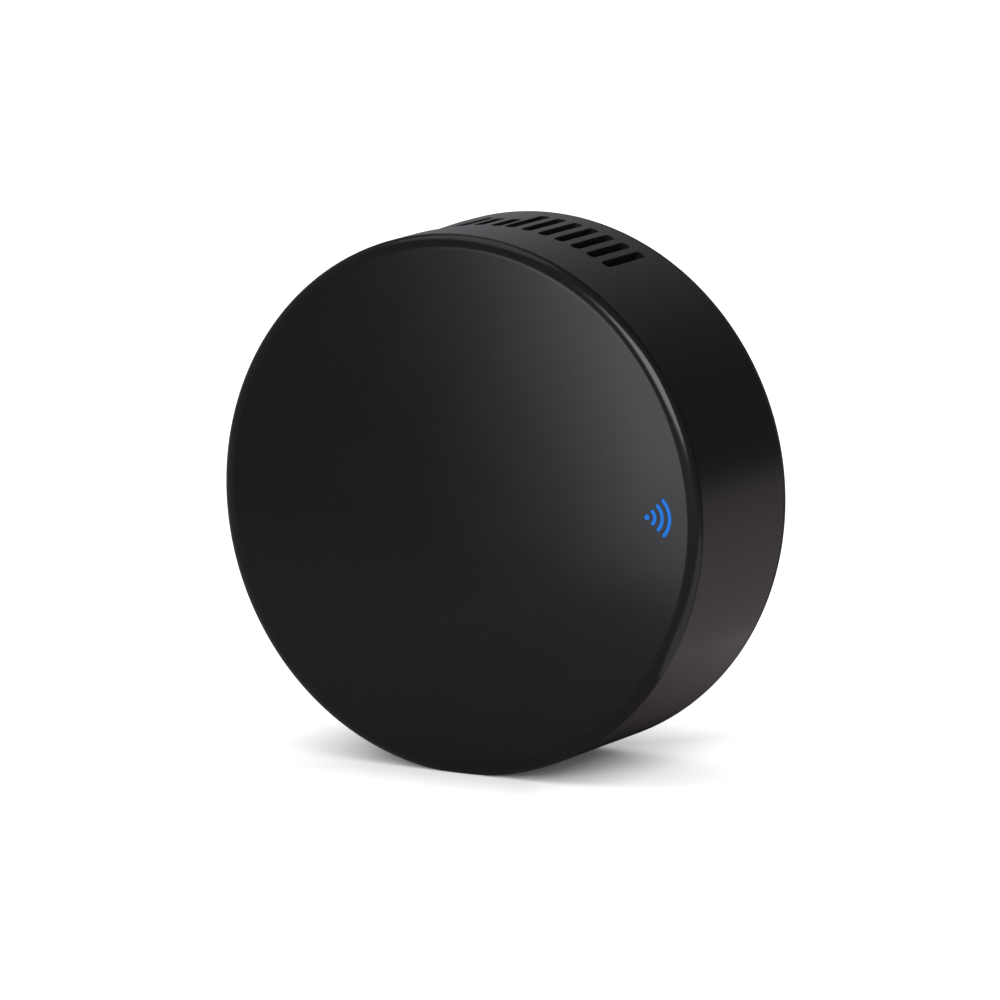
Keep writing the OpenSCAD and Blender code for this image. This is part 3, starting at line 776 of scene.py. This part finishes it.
def make_front_cover():
    shell = Shell()
    tops, floors = [], []
    for outline in mark_outlines():
        rows = []
        for k in range(LIP_STEPS + 1):
            t = k / LIP_STEPS * math.pi / 2
            grow = MARK_GAP + MARK_LIP * (1 - math.sin(t))
            row, _ = mark_row(shell, outline, grow, PUCK_H - MARK_LIP * (1 - math.cos(t)))
            rows.append((row, mark_normals(outline, -math.sin(t), math.cos(t))))
        floor, _ = mark_row(shell, outline, MARK_GAP, COVER_IN_Z)
        rows.append((floor, mark_normals(outline, -1, 0)))
        tops.append(rows[0][0])
        floors.append(floor)
        shell.strips(rows)
    centre_row = ring_of(shell, FACE_R, PUCK_H)
    under_row = ring_of(shell, SPIGOT_R, COVER_IN_Z)
    flat_sheet(shell, centre_row, tops, 1)
    flat_sheet(shell, under_row, floors, -1)
    edge = edge_run(LIP_Z, PUCK_H)
    profile = [(SPIGOT_R, COVER_IN_Z), (SPIGOT_R, SEAT_Z), (GROOVE_R, SEAT_Z), (GROOVE_R, LIP_Z)]
    _, lip_row = lathe(shell, profile, first=under_row)
    outer_row = ring_of(shell, edge[0][0], LIP_Z)
    lathe(shell, [(GROOVE_R, LIP_Z), edge[0][:2]], first=lip_row, last=outer_row)
    lathe(shell, edge, first=outer_row, last=centre_row)
    catch_r = RING_IN_R - SEAT_GAP - BARB_W
    hook_r = catch_r - SEAT_GAP
    end_z = COVER_IN_Z - HOOK_L
    for i in range(HOOK_COUNT):
        angle = HOOK_FIRST_ANGLE + 360 * i / HOOK_COUNT
        sector(shell, angle, hook_r - HOOK_T, hook_r, end_z, COVER_IN_Z + COVER_T / 2, HOOK_W)
        sector(shell, angle, hook_r - HOOK_T / 2, hook_r + BARB_W, end_z, end_z + BARB_H, HOOK_W)
    shell.build("front_shell", COVER, "case", ["front_cover"], "cover_gloss")


def make_mark():
    """The lit insert: a dot and three arcs flush with the face, on a plate behind the cover."""
    shell = Shell()
    for outline in mark_outlines():
        rows = []
        for k in range(LIP_STEPS + 1):
            t = k / LIP_STEPS * math.pi / 2
            grow = -MARK_LIP * (1 - math.sin(t))
            row, flat = mark_row(shell, outline, grow, PUCK_H - MARK_LIP * (1 - math.cos(t)))
            rows.append((row, mark_normals(outline, math.sin(t), math.cos(t))))
            if k == 0:
                for triangle in fill(flat, []):
                    shell.face([row[i] for i in triangle], [(0, 0, 1)] * 3)
        row, flat = mark_row(shell, outline, 0, COVER_IN_Z)
        rows.append((row, mark_normals(outline, 1, 0)))
        for (high, high_normals), (low, low_normals) in zip(rows, rows[1:]):
            shell.strip(low, high, low_normals, high_normals)
        for triangle in fill(flat, []):
            shell.face([row[i] for i in reversed(triangle)], [(0, 0, -1)] * 3)
    plate_in = MARK_R - DOT_R - MARK_PLATE_MARGIN
    plate_out = MARK_R + ARC_RADII[-1] + ARC_HALF_STROKE + MARK_PLATE_MARGIN
    plate_z = COVER_IN_Z - MARK_PLATE_T
    block(shell, MARK_ANGLE, plate_in, plate_out, MARK_PLATE_W, plate_z, COVER_IN_Z)
    post_r = MARK_R + MARK_POST_OUT
    post_z = (foot_high.y - guide_high.y) / MM
    block(shell, MARK_ANGLE, post_r - MARK_POST_W / 2, post_r + MARK_POST_W / 2, MARK_POST_W,
          post_z, plate_z)
    shell.build("signal_insert", MARK, "case", ["light_guide"], "mark_blue")


def rim_holes():
    vent = slot_outline(VENT_W, VENT_L)
    short = slot_outline(VENT_W, SHORT_VENT_L)
    port = rectangle_outline(PORT_W, PORT_H, PORT_CORNER)
    holes = [RimHole(vent, VENT_NEAR_ANGLE - i * VENT_STEP, VENT_Z, VENT_LIP)
             for i in range(VENT_COUNT)]
    holes += [RimHole(short, angle, SHORT_VENT_Z, VENT_LIP) for angle in SHORT_VENT_ANGLES]
    holes += [RimHole(vent, FAR_VENT_ANGLE + i * VENT_STEP, VENT_Z, VENT_LIP)
              for i in range(FAR_VENT_COUNT)]
    holes.append(RimHole(port, PORT_ANGLE, PORT_Z, PORT_LIP))
    holes.append(RimHole(circle_outline(BUTTON_HOLE_R), BUTTON_ANGLE, BUTTON_Z, BUTTON_LIP))
    return holes


def make_body_ring():
    shell = Shell()
    outer, inner = [], []
    for hole in rim_holes():
        rows = []
        for k in range(LIP_STEPS + 1):
            t = k / LIP_STEPS * math.pi / 2
            grow = hole.lip * (1 - math.sin(t))
            row, flat = hole.row(shell, grow, PUCK_R - hole.lip * (1 - math.cos(t)))
            rows.append((row, hole.normals(k / LIP_STEPS)))
            if k == 0:
                outer.append((row, flat))
        shell.strips(rows)
        row, flat = hole.row(shell, 0, RING_IN_R)
        inner.append((row, flat))
        # The walls inside each hole take the darker hole-wall finish: painted shade in the slots,
        # the port and the button hole
        shell.material_index = 1
        shell.strip(rows[-1][0], row, hole.normals(1), hole.normals(1))
        shell.material_index = 0
    low_z, high_z = RING_BACK_Z + RING_CHAMFER, PUCK_H - FACE_EDGE_H
    inner_z = levels(RING_BACK_Z, SEAT_Z)
    outer_low, outer_high = rim_wall(shell, PUCK_R, levels(low_z, high_z), outer, True)
    inner_low, inner_high = rim_wall(shell, RING_IN_R, inner_z, inner, False)
    edge = edge_run(high_z, SEAT_Z)
    turns = RIM_TURNS[:-1]
    lathe(shell, edge + [(RING_IN_R, SEAT_Z)], turns, first=outer_high, last=inner_high)
    back = [(RING_IN_R, RING_BACK_Z), (PUCK_R - RING_CHAMFER, RING_BACK_Z), (PUCK_R, low_z)]
    lathe(shell, back, turns, first=inner_low, last=outer_low)
    catch_r = RING_IN_R - SEAT_GAP - BARB_W
    catch_z = COVER_IN_Z - HOOK_L + BARB_H + SEAT_GAP
    for i in range(HOOK_COUNT):
        sector(shell, HOOK_FIRST_ANGLE + 360 * i / HOOK_COUNT, catch_r, RING_IN_R + WALL / 2,
               catch_z, catch_z + CATCH_H, HOOK_W + 2 * SEAT_GAP)
    boss_z = BASE_IN_Z + PAD_H
    boss_turns = circle(BOSS_COLUMNS)
    for angle in CASE_SCREW_ANGLES:
        centre = polar(radians(angle), CASE_SCREW_R, 0)[:2]
        top_z = boss_z + BOSS_H
        roof_z = top_z - BOSS_ROOF_T
        lathe(shell, [(SCREW_R, boss_z), (BOSS_R, boss_z), (BOSS_R, top_z), (AXIS_R, top_z)],
              boss_turns, centre)
        lathe(shell, [(AXIS_R, roof_z), (SCREW_R, roof_z), (SCREW_R, boss_z)], boss_turns, centre)
        block(shell, angle, CASE_SCREW_R + SCREW_R + BOSS_WEB_GAP, RING_IN_R + WALL / 2, BOSS_WEB_T,
              boss_z, top_z)
    shell.build("rim_shell", RING, "case", ["body_ring"], "ring_gloss", HOLE_WALL_SHADE)


def flat_sheet(shell, outer_row, holes, up):
    """A flat disc inside one row of points, with holes along other rows."""
    border = [shell.points[i][:2] for i in outer_row]
    loops = [[shell.points[i][:2] for i in row] for row in holes]
    ids = outer_row + [i for row in holes for i in row]
    for triangle in fill(border, loops):
        corners = [ids[i] for i in triangle]
        if up < 0:
            corners.reverse()
        shell.face(corners, [(0, 0, up)] * 3)


def make_base_cover():
    shell = Shell()
    groove_z = FOOT_PROUD + FOOT_GROOVE
    label_r = FOOT_IN_R - LABEL_MARGIN
    groove_in, groove_out = FOOT_IN_R - SEAT_GAP, FOOT_R + SEAT_GAP

    def soft_edge(radius, start):
        return ellipse_run((radius, FOOT_PROUD + BASE_SOFT), BASE_SOFT, BASE_SOFT,
                           start, start + 90, SOFT_STEPS)
    label = soft_edge(label_r + BASE_SOFT, 180)
    into_groove = soft_edge(groove_in - BASE_SOFT, 270)
    out_of_groove = soft_edge(groove_out + BASE_SOFT, 180)
    rear_edge = ellipse_run((PUCK_R - REAR_EDGE_W, RING_BACK_Z), REAR_EDGE_W, REAR_EDGE_H,
                            270, REAR_EDGE_END)
    label_z = FOOT_PROUD + LABEL_DEPTH
    label_row = ring_of(shell, label_r, label_z)
    flat_sheet(shell, label_row, [], -1)
    inner_profile = [(label_r, label_z)] + label + into_groove + [(groove_in, groove_z)]
    _, groove_in_row = lathe(shell, inner_profile, first=label_row)
    groove_out_row = ring_of(shell, groove_out, groove_z)
    spigot_z = BASE_IN_Z + PAD_H - SEAT_GAP
    inner_row = ring_of(shell, SPIGOT_R - HOOK_T, BASE_IN_Z)
    lathe(shell, [(groove_out, groove_z)] + out_of_groove + rear_edge
          + [(PUCK_R - RING_CHAMFER, RING_BACK_Z), (SPIGOT_R, RING_BACK_Z), (SPIGOT_R, spigot_z),
             (SPIGOT_R - HOOK_T, spigot_z), (SPIGOT_R - HOOK_T, BASE_IN_Z)],
          first=groove_out_row, last=inner_row)
    head_rows, pad_rows = [], []
    head_z = groove_z + SCREW_HEAD_H
    pad_z = BASE_IN_Z + PAD_H
    head_r, bore_r = SCREW_HEAD_R + SEAT_GAP, SCREW_R + SEAT_GAP
    floor_z = POST_TOP_Z - POST_HOLE_DEPTH
    hole_turns = circle(HOLE_COLUMNS)
    for angle in CASE_SCREW_ANGLES:
        centre = polar(radians(angle), CASE_SCREW_R, 0)[:2]
        _, head_row = lathe(shell, [(bore_r, pad_z), (bore_r, head_z), (head_r, head_z),
                                    (head_r, groove_z)], hole_turns, centre)
        pad_row, _ = lathe(shell, [(PAD_R, BASE_IN_Z), (PAD_R, pad_z), (bore_r, pad_z)],
                           hole_turns, centre)
        head_rows.append(head_row)
        pad_rows.append(pad_row)
    for angle in BOARD_SCREW_ANGLES:
        centre = polar(radians(angle), BOARD_SCREW_R, 0)[:2]
        pad_row, _ = lathe(shell, [(POST_R, BASE_IN_Z), (POST_R, POST_TOP_Z), (SCREW_R, POST_TOP_Z),
                                   (SCREW_R, floor_z), (AXIS_R, floor_z)], hole_turns, centre)
        pad_rows.append(pad_row)
    flat_sheet(shell, groove_out_row, [groove_in_row] + head_rows, -1)
    flat_sheet(shell, inner_row, pad_rows, 1)
    shell.build("base_shell", BASE, "case", ["base_cover"], "base_matte")


def make_foot():
    shell = Shell()
    top = FOOT_PROUD + FOOT_GROOVE
    inner = ellipse_run((FOOT_IN_R + FOOT_ROUND, FOOT_ROUND), FOOT_ROUND, FOOT_ROUND,
                        180, 270, FOOT_STEPS)
    outer = ellipse_run((FOOT_R - FOOT_ROUND, FOOT_ROUND), FOOT_ROUND, FOOT_ROUND,
                        270, 360, FOOT_STEPS)
    start = ring_of(shell, FOOT_IN_R, top)
    lathe(shell, [(FOOT_IN_R, top)] + inner + outer + [(FOOT_R, top), (FOOT_IN_R, top)],
          first=start, last=start)
    shell.build("foot", FOOT, "case", ["foot_ring"], "foot_rubber")


def make_button():
    """The reset button, turned round its own axis and then laid along its radius."""
    turned_shell = Shell()
    flange_r = BUTTON_R + BUTTON_FLANGE_W
    flange_out = RING_IN_R - BUTTON_FLANGE_GAP
    flange_in = flange_out - BUTTON_FLANGE_T
    tip = PUCK_R + BUTTON_PROUD
    edge = ellipse_run((BUTTON_R - BUTTON_EDGE, tip - BUTTON_EDGE - BUTTON_CROWN),
                       BUTTON_EDGE, BUTTON_EDGE, 0, BUTTON_EDGE_END, BUTTON_EDGE_STEPS)
    dome_r, dome_h = edge[-1][0], tip - edge[-1][1]
    dome = []
    for i in range(1, BUTTON_CROWN_STEPS):
        r = dome_r * (1 - i / BUTTON_CROWN_STEPS)
        normal = Vector((2 * dome_h * r / dome_r ** 2, 1)).normalized()
        dome.append((r, tip - dome_h * (r / dome_r) ** 2, (normal.x, normal.y)))
    profile = ([(AXIS_R, BUTTON_STEM_IN_R), (BUTTON_STEM_R, BUTTON_STEM_IN_R),
                (BUTTON_STEM_R, flange_in), (flange_r, flange_in), (flange_r, flange_out),
                (BUTTON_R, flange_out)] + edge + dome + [(AXIS_R, tip, (0, 1))])
    lathe(turned_shell, profile, circle(BUTTON_COLUMNS))
    turn = radians(BUTTON_ANGLE)

    def lay(p):
        return (p[2] * math.cos(turn) - p[1] * math.sin(turn),
                p[2] * math.sin(turn) + p[1] * math.cos(turn), -p[0])
    shell = Shell()
    shell.points = [(x, y, z + BUTTON_Z) for x, y, z in map(lay, turned_shell.points)]
    shell.faces = turned_shell.faces
    shell.normals = [[lay(n) for n in normals] for normals in turned_shell.normals]
    shell.build("button_cap", BUTTON, "button", ["reset_button"], "button_gloss")


def dress_nodes():
    """Gives each remaining node of the construction its finish."""
    slots = {row["node"]: row["material_slot"] for row in frame["record"]["subparts"]}
    for name, node in frame["nodes"].items():
        material = FINISHES.get(slots[name])
        if material:
            node.data.materials.clear()
            node.data.materials.append(material)


# Studio, in millimetres and in radiance, where white is 1. A span runs from the start of a ramp
# to its end, and a plan gives the corners of a card or its left, right, front and back
FLOOR_HALF = 1500
FLOOR_CARD_Z = 0.5
FLOOR_TONE = 0.93
FLOOR_IN_GLOSS = (0.395, 0.345, 0.375)
# The floor's camera-only glow, none close to the puck: painted shadow that keeps the contact shadow
# dark and tight
FLOOR_LIFT = 0.36
FLOOR_LOW_LIFT = 0.03
FLOOR_LIFT_RIGHT = (8, 20)
FLOOR_LIFT_LEFT = (-12, -34)
FLOOR_LIFT_ENDS = (12, 26)
CARD_Y = -130
CARD_LEFT = -150
CARD_RIGHT = -22
CARD_TOP = 62
CARD_SLANT = 0.44
CARD_RISE = (-72, -30)
CARD_BASE_LIGHT = 0.3
CARD_EXTRA_LIGHT = 3.6
CARD_BEND = 3
SIDE_CARD_PLAN = ((34, -45), (160, -120), (160, 4), (34, 4))
SIDE_CARD_LIGHT = 1.25
# A dark card under the puck that only gloss sees: painted shade in the rim's reflection, darkest
# close to the contact
SHADE_PLAN = (3, 31, -8, 60)
SHADE_RISE = (11.3, 31)
SHADE_GAIN_SPAN = (4, 34)
SHADE_GAIN = (0.7, 1.6)
SHADE_FADE = (34, 60)
SHADE_LOW_LIGHT = 0.012
SHADE_HIGH_LIGHT = 0.325
SHADE_FAR_LIGHT = 0.37
SHADE_TINT = (1.07, 0.93, 1.01)
CARD_TINT = (1, 0.985, 1.04)
TENT_TINT = (1, 0.955, 1.03)
TENT_R = 700
TENT_SIDE_SPAN = (-0.4 * TENT_R, 0.4 * TENT_R)
TENT_FRONT_SPAN = (0.3 * TENT_R, -0.3 * TENT_R)
TENT_FRONT_LIGHT = 0.36
TENT_RIGHT_LIGHT = 0.07
TENT_LEFT_LIGHT = 0.32
WORLD_LIGHT = 0.9


def card_material(name, build):
    material = bpy.data.materials.new(name)
    material.use_nodes = True
    nodes = material.node_tree.nodes
    nodes.clear()
    output = nodes.new("ShaderNodeOutputMaterial")
    emission = nodes.new("ShaderNodeEmission")
    material.node_tree.links.new(emission.outputs[0], output.inputs["Surface"])
    build(nodes, material.node_tree.links, emission)
    return material


def reflection_only(obj):
    """Studio cards show in gloss alone: not to the camera, and they light and shade nothing."""
    obj.visible_camera = False
    obj.visible_diffuse = False
    obj.visible_shadow = False
    obj.visible_transmission = False


def plane(name, corners, material):
    mesh = bpy.data.meshes.new(name)
    mesh.from_pydata([Vector(c) * MM for c in corners], [], [(0, 1, 2, 3)])
    mesh.materials.append(material)
    obj = bpy.data.objects.new(name, mesh)
    bpy.context.scene.collection.objects.link(obj)
    return obj


def rectangle(left, right, front, back, z):
    return [(left, front, z), (right, front, z), (right, back, z), (left, back, z)]


def make_floor():
    """A white floor that keeps the shadow. Gloss sees it grey, so that the black stays deep, and
    the camera sees it lifted to white away from the puck. Close to the puck it is not lifted,
    which paints the contact shadow darker and tighter."""
    material = bpy.data.materials.new("floor")
    material.use_nodes = True
    nodes, links = material.node_tree.nodes, material.node_tree.links
    shader = nodes["Principled BSDF"]
    shader.inputs["Roughness"].default_value = 0.9
    shader.inputs["Specular IOR Level"].default_value = 0.0
    path = nodes.new("ShaderNodeLightPath")
    tone = mix_node(nodes, links, path.outputs["Is Glossy Ray"], (FLOOR_TONE,) * 3, FLOOR_IN_GLOSS)
    links.new(tone, shader.inputs["Base Color"])
    # Painted shadow: the lift is none close to the puck and grows away from it, so the contact
    # shadow stays darker than under an even lift
    axes = object_axes(nodes, links)
    depth = math_node(nodes, links, "ABSOLUTE", axes["Y"])
    right = span_node(nodes, links, axes["X"], FLOOR_LIFT_RIGHT, 0, FLOOR_LIFT)
    left = span_node(nodes, links, axes["X"], FLOOR_LIFT_LEFT, FLOOR_LOW_LIFT, FLOOR_LIFT)
    ends = span_node(nodes, links, depth, FLOOR_LIFT_ENDS, 0, FLOOR_LIFT)
    sides = math_node(nodes, links, "MAXIMUM", right, left)
    lift = math_node(nodes, links, "MAXIMUM", sides, ends)
    white = math_node(nodes, links, "MULTIPLY", path.outputs["Is Camera Ray"], lift)
    links.new(white, shader.inputs["Emission Strength"])
    shader.inputs["Emission Color"].default_value = (1, 1, 1, 1)
    corners = rectangle(-FLOOR_HALF, FLOOR_HALF, -FLOOR_HALF, FLOOR_HALF, 0)
    plane("floor", corners, material)


def make_face_card():
    """A card at the front left that the face mirrors: even, and bright towards its top right."""
    def build(nodes, links, emission):
        axes = object_axes(nodes, links)
        along = math_node(nodes, links, "MULTIPLY_ADD", axes["Z"], CARD_SLANT, axes["X"])
        rise = span_node(nodes, links, along, CARD_RISE, 0, 1)
        bright = math_node(nodes, links, "POWER", rise, CARD_BEND)
        strength = math_node(nodes, links, "MULTIPLY_ADD", bright, CARD_EXTRA_LIGHT,
                             CARD_BASE_LIGHT)
        links.new(strength, emission.inputs["Strength"])
        emission.inputs["Color"].default_value = (*CARD_TINT, 1)
    material = card_material("face_card", build)
    reflection_only(plane("face_card", [(CARD_LEFT, CARD_Y, 0), (CARD_RIGHT, CARD_Y, 0),
                                        (CARD_RIGHT, CARD_Y, CARD_TOP),
                                        (CARD_LEFT, CARD_Y, CARD_TOP)], material))


def make_side_card():
    """A white card on the floor at the front right: the rounded edge and the rim catch it."""
    def build(nodes, links, emission):
        emission.inputs["Strength"].default_value = SIDE_CARD_LIGHT
    material = card_material("side_card", build)
    corners = [(x, y, FLOOR_CARD_Z) for x, y in SIDE_CARD_PLAN]
    reflection_only(plane("side_card", corners, material))


def make_painted_shade_card():
    """Painted shade: a dark card under the puck, which the foot of the rim mirrors in place of the
    floor's shadow there.
    """
    def build(nodes, links, emission):
        axes = object_axes(nodes, links)
        side = span_node(nodes, links, axes["X"], SHADE_RISE, SHADE_LOW_LIGHT, SHADE_HIGH_LIGHT)
        gain = span_node(nodes, links, axes["Y"], SHADE_GAIN_SPAN, *SHADE_GAIN)
        near = math_node(nodes, links, "MULTIPLY", side, gain)
        fade = span_node(nodes, links, axes["Y"], SHADE_FADE, 0, 1)
        change = math_node(nodes, links, "SUBTRACT", SHADE_FAR_LIGHT, near)
        strength = math_node(nodes, links, "MULTIPLY_ADD", change, fade, near)
        links.new(strength, emission.inputs["Strength"])
        emission.inputs["Color"].default_value = (*SHADE_TINT, 1)
    material = card_material("painted_shade_card", build)
    reflection_only(plane("painted_shade_card", rectangle(*SHADE_PLAN, FLOOR_CARD_Z), material))


def make_tent():
    """A grey tent round the studio that only gloss sees: darkest behind on the right."""
    def build(nodes, links, emission):
        axes = object_axes(nodes, links)
        side = span_node(nodes, links, axes["X"], TENT_SIDE_SPAN, TENT_LEFT_LIGHT,
                         TENT_RIGHT_LIGHT)
        front = span_node(nodes, links, axes["Y"], TENT_FRONT_SPAN, 0, 1)
        change = math_node(nodes, links, "SUBTRACT", TENT_FRONT_LIGHT, side)
        strength = math_node(nodes, links, "MULTIPLY_ADD", change, front, side)
        links.new(strength, emission.inputs["Strength"])
        emission.inputs["Color"].default_value = (*TENT_TINT, 1)
    bpy.ops.mesh.primitive_uv_sphere_add(segments=48, ring_count=24, radius=TENT_R * MM)
    tent = bpy.context.object
    tent.name = "tent"
    tent.data.materials.append(card_material("tent", build))
    reflection_only(tent)


def add_lamp(name, direction, distance, size, strength):
    """A soft square lamp that faces the puck; strength is its radiance, where the floor is 1."""
    light = bpy.data.lights.new(name, "AREA")
    light.shape = "RECTANGLE"
    light.size = size[0] * MM
    light.size_y = size[1] * MM
    light.energy = strength * math.pi * light.size * light.size_y
    lamp = bpy.data.objects.new(name, light)
    aim = Vector((0, 0, STAND_R * MM))
    out = Vector(direction).normalized()
    lamp.location = aim + out * distance * MM
    lamp.rotation_mode = "QUATERNION"
    lamp.rotation_quaternion = out.to_track_quat("Z", "Y")
    bpy.context.scene.collection.objects.link(lamp)


def make_world(strength):
    world = bpy.data.worlds.new("studio")
    world.use_nodes = True
    bpy.context.scene.world = world
    nodes, links = world.node_tree.nodes, world.node_tree.links
    background = nodes["Background"]
    background.inputs["Color"].default_value = (1, 1, 1, 1)
    path = nodes.new("ShaderNodeLightPath")
    seen = math_node(nodes, links, "MAXIMUM",
                     path.outputs["Is Camera Ray"], path.outputs["Is Glossy Ray"])
    clear = math_node(nodes, links, "MAXIMUM", seen, path.outputs["Is Transmission Ray"])
    level = ramp_node(nodes, links, clear, 0, 1, strength, 1)
    links.new(level, background.inputs["Strength"])


# Camera: the photograph's long lens, to the right of the face and a little above it
CAMERA_AZIMUTH = 29.48
CAMERA_ELEVATION = 10.32
CAMERA_DISTANCE = 1097.5
CAMERA_FOCAL_PX = 9482.4
CAMERA_TARGET = (-0.937, 0.0, 30.177)
IMAGE_PX = 1000
SENSOR_MM = 36


def make_camera():
    data = bpy.data.cameras.new("camera")
    data.sensor_width = SENSOR_MM
    data.lens = SENSOR_MM * CAMERA_FOCAL_PX / IMAGE_PX
    data.clip_start = 0.05
    data.clip_end = 20
    camera = bpy.data.objects.new("camera", data)
    bpy.context.scene.collection.objects.link(camera)
    azimuth, elevation = radians(CAMERA_AZIMUTH), radians(CAMERA_ELEVATION)
    level = math.cos(elevation)
    back = Vector((math.sin(azimuth) * level, -math.cos(azimuth) * level, math.sin(elevation)))
    camera.location = (Vector(CAMERA_TARGET) + back * CAMERA_DISTANCE) * MM
    camera.rotation_mode = "QUATERNION"
    camera.rotation_quaternion = back.to_track_quat("Z", "Y")
    bpy.context.scene.camera = camera


make_camera()
make_front_cover()
make_mark()
make_body_ring()
make_base_cover()
make_foot()
make_button()
dress_nodes()
make_floor()
make_face_card()
make_side_card()
make_painted_shade_card()
make_tent()
make_world(WORLD_LIGHT)
add_lamp("key", direction=(0.22, -0.93, 0.3), distance=620, size=(290, 250), strength=7.4)
add_lamp("overhead", direction=(-0.36, -0.36, 0.86), distance=620, size=(460, 460), strength=1.3)
bpy.context.scene.view_settings.view_transform = "Standard"
